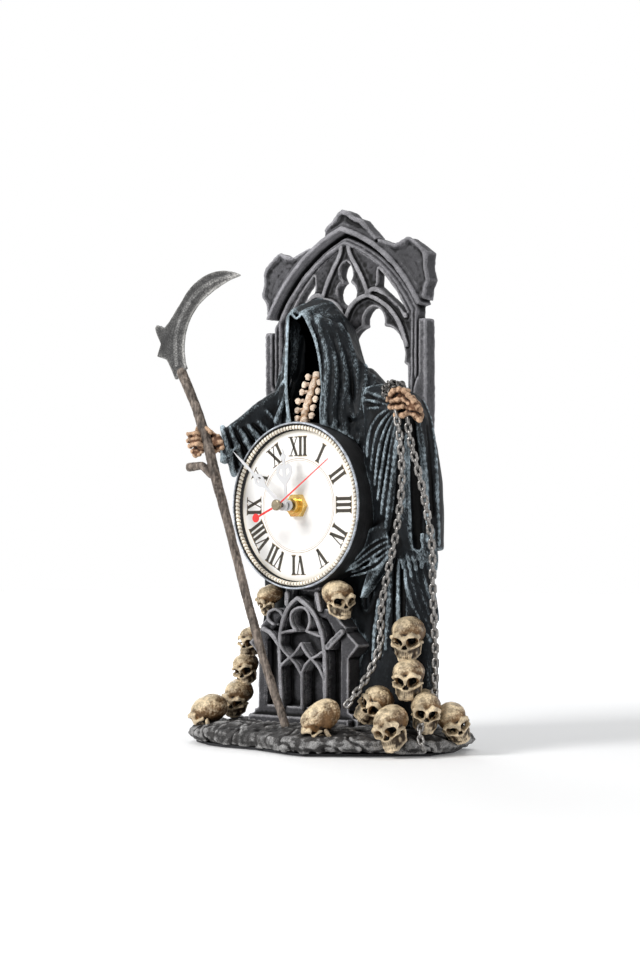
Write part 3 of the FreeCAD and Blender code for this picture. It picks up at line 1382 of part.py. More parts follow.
def chain(points):
    """Links laid end to end along a route of straight runs, every other one turned a quarter."""
    pitch = float(d.link_length - d.link_wire * 2 - d.link_slack)
    link = chain_link()
    solids = []
    reach = pitch / 2
    turned_link = False
    for start, end in zip(points, points[1:]):
        run = end - start
        while reach <= run.Length:
            along = FreeCAD.Rotation(FreeCAD.Vector(0, 0, 1), run)
            spin = FreeCAD.Rotation(FreeCAD.Vector(0, 0, 1), 90 if turned_link else 0)
            spot = start + run * (reach / run.Length)
            solids.append(link.transformed(FreeCAD.Placement(spot, along * spin).toMatrix()))
            turned_link = not turned_link
            reach += pitch
        reach -= run.Length
    return Part.Compound([solid for piece in solids for solid in piece.Solids])


chain_beds = []
for name, shares in (("front_chain", FRONT_CHAIN_SHARES), ("side_chain", SIDE_CHAIN_SHARES)):
    route = [figure(*place) for place in shares]
    bed_radius = d.link_width / 2 + d.part_gap
    chain_beds.append(tube_along(route, [bed_radius] * len(route), POLE_SIDES))
    feature(name, chain(route))


# Skulls

def skull_blank():
    """A skull of unit length facing the front, with its sockets cut."""
    rings = []
    for height, half, front, back in SKULL_RING_SHARES:
        ring = []
        for index in range(SKULL_POINTS):
            angle = 2 * math.pi * index / SKULL_POINTS
            across, deep = squared(angle)
            ring.append(FreeCAD.Vector(half * across, (front + back) / 2 + (back - front) / 2 * deep, height))
        rings.append(ring)
    return faceted(rings)


def skull(blank, x, y, z, turn, nod, lean, size_share):
    """A skull of its own size with eye sockets and nose, turned to its place."""
    length = float(d.skull_length * size_share)
    made = blank.copy()
    made.scale(length)
    radius = float(d.socket_radius * size_share)
    depth = float(d.socket_depth * size_share)
    for side in (-1, 1):
        eye = FreeCAD.Vector(side * EYE_SHARES[0] * length, -length / 2, EYE_SHARES[1] * length)
        made = made.cut(Part.makeCone(radius, radius / 2, depth, eye, FreeCAD.Vector(0, 1, 0)))
    nose = FreeCAD.Vector(0, -length / 2, NOSE_SHARES[1] * length)
    made = made.cut(Part.makeCone(radius * NOSE_SHARES[2], 0, depth, nose, FreeCAD.Vector(0, 1, 0)))
    place = vector(x * d.base_width, y * d.base_depth, z * d.hood_height)
    made.Placement = FreeCAD.Placement(place, FreeCAD.Rotation(turn, lean, nod))
    return made


blank = skull_blank()
settled = [rock_base, plinth.Shape, robe, left_sleeve, pole]
for number, shares in enumerate(SKULL_SHARES, start=1):
    made = carved(skull(blank, *shares), drum_blank, *settled, *chain_beds)
    settled.append(made)
    feature("skull_{:02d}".format(number), made)


# Write every sub-part

doc.recompute()
parts = [item for item in doc.Objects if item.TypeId == "PartDesign::Body"]
parts += [item for item in doc.Objects if item.TypeId.startswith("Part::") and not item.InList]
for item in doc.Objects:
    broken = [state for state in item.State if state in ("Invalid", "Error")]
    if broken:
        raise RuntimeError(item.Label + " did not recompute: " + ", ".join(broken))
for item in parts:
    if item.Shape.isNull() or not item.Shape.isValid() or not item.Shape.Solids:
        raise RuntimeError(item.Label + " has no valid solid")
os.makedirs("parts", exist_ok=True)
for item in parts:
    item.Shape.exportStep("parts/" + item.Label + ".step")
print(len(parts), "sub-parts written")
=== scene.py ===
import copy
import math
import bpy
import numpy as np
import openvdb
from mathutils import Matrix, Vector


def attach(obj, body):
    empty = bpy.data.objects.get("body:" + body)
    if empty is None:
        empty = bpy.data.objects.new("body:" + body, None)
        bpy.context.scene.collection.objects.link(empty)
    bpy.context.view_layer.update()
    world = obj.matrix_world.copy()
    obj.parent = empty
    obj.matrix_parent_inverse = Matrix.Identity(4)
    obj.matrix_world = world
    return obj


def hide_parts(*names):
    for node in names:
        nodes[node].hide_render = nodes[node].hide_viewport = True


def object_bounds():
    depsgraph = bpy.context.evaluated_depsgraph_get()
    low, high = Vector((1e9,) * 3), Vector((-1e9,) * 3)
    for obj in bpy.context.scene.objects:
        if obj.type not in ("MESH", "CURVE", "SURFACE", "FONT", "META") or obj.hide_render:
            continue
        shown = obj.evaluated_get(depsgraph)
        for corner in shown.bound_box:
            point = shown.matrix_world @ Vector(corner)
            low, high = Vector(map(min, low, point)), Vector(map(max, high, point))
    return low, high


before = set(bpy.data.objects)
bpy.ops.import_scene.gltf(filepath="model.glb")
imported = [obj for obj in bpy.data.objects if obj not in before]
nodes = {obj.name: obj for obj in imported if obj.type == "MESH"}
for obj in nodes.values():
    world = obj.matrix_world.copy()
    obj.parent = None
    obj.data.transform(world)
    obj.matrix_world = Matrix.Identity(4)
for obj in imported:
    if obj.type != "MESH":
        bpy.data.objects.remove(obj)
cad_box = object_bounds()
MM = 0.001
BODY = "clock_body"
DIAL_Z = 132.0


# Camera: the photograph's viewpoint, and the way from its pixels to places in the model

CAMERA_TURN = math.radians(40.581)
CAMERA_EYE = (724.9, -841.9, 102.96)
CAMERA_FOCUS = 2006.4
CENTRE_PX = 320.0
HORIZON_PX = 558.63
FRAME_HEIGHT = 960
SENSOR = 36.0


def spot(px, py, y):
    """The place in millimetres that shows at a pixel, on the plane of that y."""
    across = (px - CENTRE_PX) / CAMERA_FOCUS
    rise = (HORIZON_PX - py) / CAMERA_FOCUS
    right = (math.cos(CAMERA_TURN), math.sin(CAMERA_TURN))
    ahead = (-math.sin(CAMERA_TURN), math.cos(CAMERA_TURN))
    way = (ahead[0] + across * right[0], ahead[1] + across * right[1])
    reach = (y - CAMERA_EYE[1]) / way[1]
    return (CAMERA_EYE[0] + reach * way[0], y, CAMERA_EYE[2] + reach * rise)


def add_camera():
    data = bpy.data.cameras.new("camera")
    data.sensor_width = SENSOR
    data.lens = CAMERA_FOCUS / FRAME_HEIGHT * SENSOR
    data.shift_y = (HORIZON_PX - FRAME_HEIGHT / 2) / FRAME_HEIGHT
    data.clip_start = 0.05
    data.clip_end = 20.0
    camera = bpy.data.objects.new("camera", data)
    camera.location = Vector(CAMERA_EYE) * MM
    camera.rotation_euler = (math.pi / 2, 0.0, CAMERA_TURN)
    bpy.context.scene.collection.objects.link(camera)
    bpy.context.scene.camera = camera


add_camera()
bpy.context.scene.view_settings.view_transform = "Standard"


# Materials

# Where the painted top highlight comes from: above, to the left and in front
TOP_LIGHT_FROM = (-0.35, -0.45, 0.82)
NOISE_RANGE = (0.3, 0.7)
CAVITY_RANGE = (0.12, 0.75)


def add_node(tree, kind, inputs=None, **settings):
    """A new shader node; each of its inputs is a value or the output of another node."""
    node = tree.nodes.new("ShaderNode" + kind)
    for name, value in settings.items():
        setattr(node, name, value)
    for key, value in (inputs or {}).items():
        if isinstance(value, bpy.types.NodeSocket):
            tree.links.new(value, node.inputs[key])
        else:
            node.inputs[key].default_value = value
    return node


def shader(name, roughness, metallic, specular):
    """A new material with one Principled shader; returns it with its node tree and shader."""
    material = bpy.data.materials.new(name)
    material.use_nodes = True
    tree = material.node_tree
    body = tree.nodes["Principled BSDF"]
    body.inputs["Roughness"].default_value = roughness
    body.inputs["Metallic"].default_value = metallic
    body.inputs["Specular IOR Level"].default_value = specular
    return material, tree, body


def add_noise(tree, size_mm, detail, rough, stretch=None):
    """Noise whose features are about size_mm across, in the piece's own frame."""
    place = add_node(tree, "TexCoord").outputs["Object"]
    if stretch:
        place = add_node(tree, "Mapping", {"Vector": place, "Scale": stretch}).outputs["Vector"]
    inputs = {"Vector": place, "Scale": 1.0 / (size_mm * MM), "Detail": detail, "Roughness": rough}
    return add_node(tree, "TexNoise", inputs).outputs["Fac"]


def add_math(tree, kind, first, second):
    return add_node(tree, "Math", {0: first, 1: second}, operation=kind).outputs[0]


def add_product(tree, *values):
    """All the values multiplied together."""
    product = values[0]
    for value in values[1:]:
        product = add_math(tree, "MULTIPLY", product, value)
    return product


def add_range(tree, value, low, high, to_low=0.0, to_high=1.0):
    """A smooth step between two levels."""
    inputs = {0: value, 1: low, 2: high, 3: to_low, 4: to_high}
    return add_node(tree, "MapRange", inputs, interpolation_type="SMOOTHSTEP").outputs[0]


def add_mix(tree, factor, first, second):
    """A mix of two colours, each a colour or a socket."""
    first, second = ((*colour, 1.0) if isinstance(colour, tuple) else colour for colour in (first, second))
    return add_node(tree, "Mix", {0: factor, 6: first, 7: second}, data_type="RGBA").outputs[2]


def add_scale(tree, colour, share):
    """A colour made brighter or darker."""
    return add_node(tree, "VectorMath", {0: colour, "Scale": share}, operation="SCALE").outputs[0]


def add_attribute(tree, name):
    return add_node(tree, "Attribute", attribute_name=name).outputs["Fac"]


def add_bump(tree, body, height, distance_mm, strength=1.0):
    bump = add_node(tree, "Bump", {"Strength": strength, "Distance": distance_mm * MM, "Height": height})
    tree.links.new(bump.outputs["Normal"], body.inputs["Normal"])


def painted(name, base, light, dark, *, edge, pit, grain_mm, grain, blotch, specular, roughness=0.62,
            blotch_mm=6.0, bump_mm=0.05, stretch=None, edge_grain=0.5, depth=0.85, hollow=False, top_light_colour=None):
    """Cold-cast resin: a base coat, a light drybrush coat on the ridges and a dark wash in the pits.

    Deep places and places with a shade value get painted shade. A paint with a top light colour also
    gets a painted highlight on the faces turned up and towards the upper left front, and a hollow one
    loses its shine in the painted shade."""
    material, tree, body = shader(name, roughness, 0.0, specular)
    ridge = add_attribute(tree, "ridge")
    # Painted shade: each point's shade value darkens the colour
    lit = add_math(tree, "SUBTRACT", 1.0, add_attribute(tree, "shade"))
    fine = add_noise(tree, grain_mm, 2.0, 0.6, stretch)
    broad = add_noise(tree, blotch_mm, 3.0, 0.55)
    shift = add_product(tree, add_math(tree, "SUBTRACT", fine, 0.5), edge_grain)
    edges = add_range(tree, add_math(tree, "ADD", ridge, shift), *edge)
    pits = add_range(tree, add_math(tree, "SUBTRACT", shift, ridge), *pit)
    colour = add_mix(tree, edges, base, light)
    if top_light_colour:
        # Painted highlight: faces turned up and towards the upper left front take the top light colour
        normal = add_node(tree, "TexCoord").outputs["Normal"]
        facing = add_node(tree, "VectorMath", {0: normal, 1: TOP_LIGHT_FROM}, operation="DOT_PRODUCT")
        top_highlight = add_math(tree, "ADD", facing.outputs["Value"], add_math(tree, "SUBTRACT", broad, 0.5))
        top_highlight = add_range(tree, add_math(tree, "ADD", top_highlight, shift), 0.0, 0.9)
        colour = add_mix(tree, top_highlight, colour, top_light_colour)
    colour = add_mix(tree, pits, colour, dark)
    mottled = add_range(tree, fine, *NOISE_RANGE, 1.0 - grain, 1.0 + grain)
    patches = add_range(tree, broad, *NOISE_RANGE, 1.0 - blotch, 1.0 + blotch)
    # Painted shade: points that lie deep in hollows are darkened
    recess_shade = add_range(tree, add_attribute(tree, "cavity"), *CAVITY_RANGE, 1.0, 1.0 - depth)
    gain = add_product(tree, mottled, patches, lit, recess_shade)
    tree.links.new(add_scale(tree, colour, gain), body.inputs["Base Color"])
    add_bump(tree, body, fine, bump_mm)
    if hollow:
        tree.links.new(add_product(tree, lit, specular), body.inputs["Specular IOR Level"])
    return material


def plain(name, base, roughness, metallic, vary, size_mm, bump_mm, stretch=None):
    """A moulded, plated or lacquered surface with slight mottling in its colour and relief."""
    material, tree, body = shader(name, roughness, metallic, 0.5)
    fine = add_noise(tree, size_mm, 4.0, 0.6, stretch)
    mottled = add_range(tree, fine, 0.25, 0.75, 1.0 - vary, 1.0 + vary)
    tree.links.new(add_scale(tree, base, mottled), body.inputs["Base Color"])
    add_bump(tree, body, fine, bump_mm)
    return material


MASONRY = painted("masonry", (0.092, 0.091, 0.098), (0.33, 0.325, 0.345), (0.005, 0.005, 0.006),
                  edge=(0.18, 0.80), pit=(0.06, 0.42), grain_mm=0.45, grain=0.36, blotch=0.18, bump_mm=0.06,
                  specular=0.2)
# The masonry paint on a darker base coat, for the tracery and the plinth: painted shade where it backs the
# tracery's pierced lights
TRACERY = painted("tracery", (0.062, 0.061, 0.066), (0.33, 0.325, 0.34), (0.003, 0.003, 0.003),
                  edge=(0.16, 0.72), pit=(0.03, 0.38), grain_mm=0.45, grain=0.36, blotch=0.18, bump_mm=0.06,
                  specular=0.2)
ROCK = painted("rock", (0.040, 0.038, 0.037), (0.31, 0.305, 0.30), (0.003, 0.0025, 0.0025), specular=0.25,
               edge=(0.14, 0.74), pit=(0.04, 0.40), grain_mm=0.6, grain=0.4, blotch=0.35, bump_mm=0.12)
CLOTH = painted("cloth", (0.0085, 0.0105, 0.0125), (0.36, 0.435, 0.48), (0.0006, 0.0006, 0.0008),
                roughness=0.5, edge=(0.32, 1.08), pit=(-0.02, 0.26), grain_mm=0.6, grain=0.4, blotch=0.4,
                specular=0.12, bump_mm=0.07, edge_grain=0.85, hollow=True, stretch=(1.0, 1.0, 0.38))
BONE = painted("bone", (0.50, 0.315, 0.19), (0.84, 0.68, 0.54), (0.030, 0.014, 0.007), specular=0.25,
               edge=(0.05, 0.6), pit=(0.02, 0.36), grain_mm=0.8, grain=0.2, blotch=0.25, bump_mm=0.05,
               depth=0.93)
HAND_BONE = painted("hand_bone", (0.115, 0.052, 0.025), (0.56, 0.37, 0.24), (0.010, 0.004, 0.002),
                    specular=0.25, edge=(0.14, 0.72), pit=(0.0, 0.24), grain_mm=0.8, grain=0.2, blotch=0.3,
                    bump_mm=0.05, depth=0.96)
SKULL = painted("skull", (0.185, 0.102, 0.044), (0.68, 0.55, 0.38), (0.008, 0.004, 0.002), roughness=0.45,
                edge=(0.16, 0.62), pit=(0.02, 0.22), grain_mm=1.1, grain=0.2, blotch_mm=5.0, blotch=0.42,
                bump_mm=0.06, edge_grain=0.6, depth=0.97, specular=0.25, top_light_colour=(0.62, 0.50, 0.33))
WOOD = painted("wood", (0.040, 0.029, 0.022), (0.23, 0.19, 0.16), (0.006, 0.0045, 0.004), roughness=0.55,
               edge=(0.05, 0.7), pit=(0.05, 0.5), grain_mm=1.2, grain=0.35, blotch=0.3,
               stretch=(1.0, 1.0, 0.18), bump_mm=0.08, specular=0.25)
PEWTER = painted("pewter", (0.095, 0.094, 0.093), (0.48, 0.47, 0.45), (0.012, 0.011, 0.010), roughness=0.38,
                 edge=(0.10, 0.62), pit=(0.05, 0.4), grain_mm=0.8, grain=0.35, blotch=0.35, specular=0.35,
                 edge_grain=0.7)
DRUM = painted("drum_paint", (0.018, 0.018, 0.019), (0.52, 0.56, 0.62), (0.004, 0.004, 0.004),
               roughness=0.5, edge=(0.2, 0.8), pit=(0.1, 0.6), grain_mm=0.8, grain=0.3, blotch=0.35,
               specular=0.5)
BEAD = painted("bead", (0.86, 0.75, 0.58), (0.98, 0.96, 0.90), (0.05, 0.025, 0.008), roughness=0.35,
               edge=(0.1, 0.7), pit=(0.0, 0.6), grain_mm=0.6, grain=0.2, blotch_mm=9, blotch=0.25,
               specular=0.6)
CHAIN = plain("chain_metal", (0.22, 0.21, 0.20), 0.32, 0.9, 0.6, 1.4, 0.06)
# A darker copy of the chain metal: painted shade on the links bunched in the fist
SHADED_CHAIN = plain("shaded_chain_metal", (0.10, 0.095, 0.09), 0.28, 0.9, 0.7, 1.4, 0.06)
BRASS = plain("brass", (0.72, 0.50, 0.17), 0.22, 1.0, 0.15, 1.0, 0.01)
STEEL = plain("plated_steel", (0.24, 0.24, 0.245), 0.25, 1.0, 0.1, 1.0, 0.01)
HAND_WHITE = plain("hand_white", (0.70, 0.70, 0.71), 0.35, 0.0, 0.02, 2.0, 0.005)
HAND_RED = plain("hand_red", (0.80, 0.035, 0.03), 0.35, 0.0, 0.05, 2.0, 0.005)
HAND_CAP = plain("hand_cap", (0.30, 0.25, 0.17), 0.25, 0.7, 0.1, 2.0, 0.005)
INK = plain("ink", (0.030, 0.024, 0.014), 0.45, 0.0, 0.25, 1.0, 0.01)
GOLD_EDGE = plain("gold_edge", (0.55, 0.40, 0.20), 0.4, 0.3, 0.2, 1.0, 0.01)
TAN_LINE = plain("tan_line", (0.62, 0.50, 0.37), 0.5, 0.0, 0.1, 1.5, 0.01)
CASE = plain("case_plastic", (0.02, 0.02, 0.022), 0.35, 0.0, 0.1, 0.6, 0.03)
GEAR = plain("gear_plastic", (0.78, 0.77, 0.72), 0.4, 0.0, 0.06, 1.0, 0.01)
RUBBER = plain("rubber", (0.02, 0.02, 0.02), 0.8, 0.0, 0.2, 0.6, 0.03)
COPPER = plain("copper", (0.50, 0.20, 0.08), 0.3, 0.8, 0.25, 0.8, 0.05, stretch=(6.0, 0.3, 0.3))
BOARD = plain("board", (0.03, 0.17, 0.07), 0.35, 0.0, 0.2, 1.2, 0.02)
CELL = plain("cell", (0.10, 0.11, 0.13), 0.3, 0.3, 0.1, 2.0, 0.01)
FELT = plain("felt", (0.03, 0.03, 0.033), 0.95, 0.0, 0.35, 0.5, 0.15)


def dial_material():
    """White printed sheet: a warm tint towards the rim and a faintly polished middle."""
    material, tree, body = shader("dial_print", 0.42, 0.0, 0.5)
    place = add_node(tree, "TexCoord").outputs["Object"]
    split = add_node(tree, "SeparateXYZ", {0: place}).outputs
    up = add_math(tree, "SUBTRACT", split["Z"], DIAL_Z * MM)
    squares = [add_product(tree, axis, axis) for axis in (split["X"], up)]
    radius = add_math(tree, "POWER", add_math(tree, "ADD", *squares), 0.5)
    rim = add_range(tree, radius, 38.5 * MM, 41.3 * MM)
    colour = add_mix(tree, rim, (0.985, 0.975, 0.955), (0.93, 0.88, 0.78))
    fine = add_range(tree, add_noise(tree, 3.0, 2.0, 0.5), *NOISE_RANGE, 0.0, 0.03)
    colour = add_mix(tree, fine, colour, (0.8, 0.76, 0.68))
    tree.links.new(colour, body.inputs["Base Color"])
    ripples = add_node(tree, "Math", {0: add_product(tree, radius, 2500.0)}, operation="SINE")
    inner = add_range(tree, radius, 24.0 * MM, 25.0 * MM, 1.0, 0.0)
    add_bump(tree, body, add_product(tree, ripples.outputs[0], inner), 0.02, 0.5)
    tree.links.new(add_range(tree, inner, 0.0, 1.0, 0.5, 0.28), body.inputs["Roughness"])
    return material


# Meshes

def set_layer(mesh, name, values):
    """Give each vertex a number that the paint reads."""
    layer = mesh.attributes.new(name, "FLOAT", "POINT")
    layer.data.foreach_set("value", np.ascontiguousarray(values, np.float32))


def add_piece(name, points, faces, material, replaced=(), smooth=True, ridge=None, body=BODY):
    """A mesh object from points in millimetres, riding on a body; ridge has one or two values a point."""
    mesh = bpy.data.meshes.new(name)
    points = np.asarray(points, np.float32) * MM
    mesh.vertices.add(len(points))
    mesh.vertices.foreach_set("co", points.ravel())
    if isinstance(faces, np.ndarray):
        sizes = np.full(len(faces), faces.shape[1], np.int32)
        corners = np.ascontiguousarray(faces, np.int32).ravel()
    else:
        sizes = np.array([len(face) for face in faces], np.int32)
        corners = np.concatenate([np.asarray(face, np.int32) for face in faces])
    starts = np.concatenate([[0], np.cumsum(sizes)[:-1]]).astype(np.int32)
    mesh.loops.add(len(corners))
    mesh.loops.foreach_set("vertex_index", corners)
    mesh.polygons.add(len(sizes))
    mesh.polygons.foreach_set("loop_start", starts)
    mesh.update(calc_edges=True)
    mesh.validate()
    mesh.polygons.foreach_set("use_smooth", np.full(len(mesh.polygons), smooth, bool))
    if ridge is not None:
        values = np.asarray(ridge, np.float32).reshape(len(points), -1)
        for layer, column in zip(("ridge", "cavity"), values.T):
            set_layer(mesh, layer, column)
    mesh.materials.append(material)
    piece = bpy.data.objects.new(name, mesh)
    bpy.context.scene.collection.objects.link(piece)
    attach(piece, body)
    if replaced:
        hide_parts(*replaced)
    return piece


def mesh_places(mesh):
    """The mesh's vertices in millimetres."""
    places = np.empty(len(mesh.vertices) * 3, np.float32)
    mesh.vertices.foreach_get("co", places)
    return places.reshape(-1, 3) / MM


def grid_faces(rows, columns, closed=True):
    """Quads over rows of points; the last row meets the first, and so do the columns of a closed grid."""
    row = np.arange(rows)[:, None]
    column = np.arange(columns if closed else columns - 1)
    ahead = (row + 1) % rows * columns
    beside = (column + 1) % columns
    corners = (row * columns + column, ahead + column, ahead + beside, row * columns + beside)
    return np.stack(corners, 2).reshape(-1, 4)


def lathe(profile, segments, closed=True):
    """Points, faces and ridge values of a profile of (radius, y, ridge) turned about the dial's axis."""
    radius, y, ridge = np.array(profile, float).T
    turn = (2 * math.pi / segments * np.arange(segments))[:, None]
    points = np.stack([radius * np.cos(turn), y + 0 * turn, DIAL_Z + radius * np.sin(turn)], 2)
    return points.reshape(-1, 3), grid_faces(segments, len(profile), closed), np.tile(ridge, segments)


def joined(parts):
    """One set of points and faces from several."""
    faces = []
    start = 0
    for points, part_faces, *_ in parts:
        faces.extend([tuple(index + start for index in face) for face in part_faces])
        start += len(points)
    return np.concatenate([part[0] for part in parts]), faces


# Voxel modelling: distances in millimetres, negative inside

HOLLOW_REACH = 1.7
FAR = 8.0
BEYOND = 9.0
FIELD_CLIP = 6.0
MARGIN = 4.0
CRUMB = 60
FRONT_SLOPE = 0.8
NEAREST_Y = -75.0
FARTHEST_Y = 45.0
SIGHT_STEP = 0.35
MOST_ROUNDS = 24
HOLLOW_ROUNDS = 14


def smooth_min(a, b, blend):
    if blend <= 0:
        return np.minimum(a, b)
    mix = np.clip(0.5 + 0.5 * (b - a) / blend, 0.0, 1.0)
    return b + (a - b) * mix - blend * mix * (1.0 - mix)


def fade(values, start, length):
    """Zero up to the start, then rising to one over the length; a negative length falls the other way."""
    return np.clip((values - start) / length, 0, 1)


def rod(start, end, radius, end_radius=None):
    """A tapered bar with round ends."""
    start, end = np.array(start, float), np.array(end, float)
    end_radius = radius if end_radius is None else end_radius
    along = end - start
    length = float(along @ along) + 1e-9
    most = max(radius, end_radius)

    def distance(x, y, z):
        dx, dy, dz = x - start[0], y - start[1], z - start[2]
        share = np.clip((dx * along[0] + dy * along[1] + dz * along[2]) / length, 0.0, 1.0)
        away = (dx - share * along[0]) ** 2 + (dy - share * along[1]) ** 2 + (dz - share * along[2]) ** 2
        return np.sqrt(away) - (radius + (end_radius - radius) * share)

    return distance, np.minimum(start, end) - most, np.maximum(start, end) + most


def ball(centre, radii):
    """A ball, or an ellipsoid with three radii."""
    centre = np.array(centre, float)
    radii = np.array(radii if hasattr(radii, "__len__") else (radii,) * 3, float)

    def distance(x, y, z):
        local = (x - centre[0], y - centre[1], z - centre[2])
        near = np.sqrt(sum((value / radius) ** 2 for value, radius in zip(local, radii)))
        steep = np.sqrt(sum((value / radius ** 2) ** 2 for value, radius in zip(local, radii)))
        return near * (near - 1.0) / np.maximum(steep, 1e-6)

    return distance, centre - radii, centre + radii


def blurred(field, rounds):
    for _ in range(rounds):
        for axis in range(3):
            field = np.moveaxis(field, axis, 0)
            wide = field.copy()
            wide[1:-1] = 0.25 * field[:-2] + 0.5 * field[1:-1] + 0.25 * field[2:]
            field = np.moveaxis(wide, 0, axis)
    return field


class Clay:
    """A block of voxels that shapes are joined to and cut from."""

    def __init__(self, low, high, step):
        self.low = np.array(low, float)
        self.step = step * 1.0
        counts = np.ceil((np.array(high, float) - self.low) / self.step).astype(int) + 1
        self.axes = [(self.low[i] + self.step * np.arange(counts[i])).astype(np.float32) for i in range(3)]
        self.x, self.y, self.z = np.ix_(*self.axes)
        self.field = np.full(counts, FAR, np.float32)

    def window(self, low, high, margin):
        """The block's cells around a box, and their places."""
        cuts = []
        for i in range(3):
            first = int(math.floor((low[i] - margin - self.low[i]) / self.step))
            last = int(math.ceil((high[i] + margin - self.low[i]) / self.step)) + 1
            cuts.append(slice(max(first, 0), max(min(last, len(self.axes[i])), 0)))
        return tuple(cuts), np.ix_(*(axis[cut] for axis, cut in zip(self.axes, cuts)))

    def put(self, shape, blend=0.0, cut=False):
        """Join a shape to the clay, or cut it away."""
        distance, low, high = shape
        cuts, places = self.window(low, high, MARGIN + blend)
        if any(part.stop <= part.start for part in cuts):
            return
        new = distance(*places).astype(np.float32)
        old = self.field[cuts]
        self.field[cuts] = -smooth_min(-old, new, blend) if cut else smooth_min(old, new, blend)

    def stroke(self, places, radii, blend=0.0, cut=False):
        """A chain of tapered bars through places; radii is one number or some, spread along the chain."""
        radii = np.atleast_1d(radii)
        radii = np.interp(np.linspace(0, 1, len(places)), np.linspace(0, 1, len(radii)), radii)
        for start, end, radius, end_radius in zip(places[:-1], places[1:], radii[:-1], radii[1:]):
            self.put(rod(start, end, radius, end_radius), blend, cut)

    def trim(self, distance):
        """Keep only what lies where the distance is negative."""
        self.field = np.maximum(self.field, distance.astype(np.float32))

    def fill(self, distance):
        """Add what lies where the distance is negative."""
        self.field = np.minimum(self.field, distance.astype(np.float32))

    def trim_front(self, front):
        """Cut away what stands nearer than a front given for each place across and up."""
        self.trim((front.astype(np.float32)[:, None, :] - self.y) * FRONT_SLOPE)

    def flat(self):
        """The places across and up, as two tables."""
        return np.broadcast_arrays(self.x[:, 0, :], self.z[:, 0, :])

    def soften(self, rounds):
        self.field = blurred(self.field, rounds)

    def roughen(self, *layers):
        """Add layers of noise, each a feature size, a height in millimetres and a seed."""
        for size, height, seed in layers:
            self.field += height * self.noise(size, seed)

    def seen(self, px, py):
        """The place on the clay that shows at a pixel of the photograph, or the nearest miss."""
        depths = np.arange(NEAREST_Y, FARTHEST_Y, SIGHT_STEP)
        first, last = np.array(spot(px, py, depths[0])), np.array(spot(px, py, depths[-1]))
        shares = ((depths - depths[0]) / (depths[-1] - depths[0]))[:, None]
        places = first + shares * (last - first)
        cells = (places - self.low) / self.step
        within = ((cells >= 0) & (cells <= np.array(self.field.shape) - 1.001)).all(1)
        values = np.where(within, sampled(self.field, np.clip(cells, 0, None)), BEYOND)
        hits = np.nonzero(values < 0)[0]
        return places[hits[0] if len(hits) else int(np.argmin(values))]

    def noise(self, size, seed):
        """Smooth noise between -1 and 1 over the block, with features of that size."""
        source = np.random.default_rng(seed)
        sizes = size if isinstance(size, tuple) else (size,) * 3
        weights = []
        for i, axis in enumerate(self.axes):
            place = (axis - self.low[i]) / sizes[i]
            cell = np.floor(place).astype(int)
            part = place - cell
            part = part * part * (3 - 2 * part)
            matrix = np.zeros((len(axis), cell.max() + 2), np.float32)
            matrix[np.arange(len(axis)), cell] = 1 - part
            matrix[np.arange(len(axis)), cell + 1] = part
            weights.append(matrix)
        values = source.uniform(-1, 1, [matrix.shape[1] for matrix in weights]).astype(np.float32)
        values = np.tensordot(weights[0], values, axes=(1, 0))
        values = np.moveaxis(np.tensordot(weights[1], values, axes=(1, 1)), 0, 1)
        return np.moveaxis(np.tensordot(weights[2], values, axes=(1, 2)), 0, 2)

    def surface(self, reach, gain):
        """Points, faces and, for each point, how far it stands out over that reach and how deep it lies."""
        field = np.clip(self.field, -FIELD_CLIP, FIELD_CLIP)
        rounds = max(1, int(round(2.0 * (reach / self.step) ** 2)))
        raised = (blurred(field, min(rounds, MOST_ROUNDS)) - field) * gain / reach
        grid = openvdb.FloatGrid(7.0)
        grid.copyFromArray(np.ascontiguousarray(field))
        points, faces = grid.convertToQuads(isovalue=0.0)
        points = np.asarray(points, np.float32)
        faces = np.asarray(faces, np.int32)
        ridge = np.clip(sampled(raised, points), -1.0, 1.0)
        coarse = blurred(np.ascontiguousarray(field[::2, ::2, ::2]), HOLLOW_ROUNDS)
        cavity = np.clip(-sampled(coarse, points / 2) / (HOLLOW_REACH * self.step), 0.0, 1.0)
        return largest(points * self.step + self.low, faces[:, ::-1], np.stack([ridge, cavity], 1))


def sampled(field, points):
    """The field's value at each point, given in voxels."""
    top = np.array(field.shape) - 2
    cell = np.clip(np.floor(points).astype(int), 0, top)
    part = np.clip(points - cell, 0.0, 1.0)
    total = np.zeros(len(points), np.float32)
    for step in np.ndindex(2, 2, 2):
        weight = np.abs(1 - np.array(step) - part)
        x, y, z = (cell + step).T
        total += weight[:, 0] * weight[:, 1] * weight[:, 2] * field[x, y, z]
    return total


def largest(points, faces, ridge):
    """Leave out loose crumbs: connected patches of few points."""
    label = np.arange(len(points))
    edges = np.concatenate([faces[:, [0, 1]], faces[:, [1, 2]], faces[:, [2, 3]]])
    while True:
        low = np.minimum(label[edges[:, 0]], label[edges[:, 1]])
        before = label.copy()
        np.minimum.at(label, edges[:, 0], low)
        np.minimum.at(label, edges[:, 1], low)
        label = label[label]
        if (label == before).all():
            break
    names, counts = np.unique(label, return_counts=True)
    kept = np.isin(label, names[counts >= CRUMB])
    number = np.cumsum(kept) - 1
    faces = number[faces[kept[faces[:, 0]]]].astype(np.int32)
    return points[kept], faces, ridge[kept]


def cast(name, clay, material, replaced, reach, gain):
    """Turn a block of clay into a piece."""
    points, faces, ridge = clay.surface(reach, gain)
    return add_piece(name, points, faces, material, replaced, ridge=ridge)


def turned(yaw, nod, lean):
    """A rotation matrix from degrees: yaw about Z, lean about Y, nod about X."""
    spins = [Matrix.Rotation(math.radians(angle), 3, axis)
             for angle, axis in ((yaw, "Z"), (lean, "Y"), (nod, "X"))]
    return np.array(spins[0] @ spins[1] @ spins[2])


# Studio: a white room, a soft key light from the upper left, and weak ones from the side, top and back

ROOM_LIGHT = 0.26
FLOOR_HALF = 4.0
WHITE = (1.0, 1.0, 1.0)


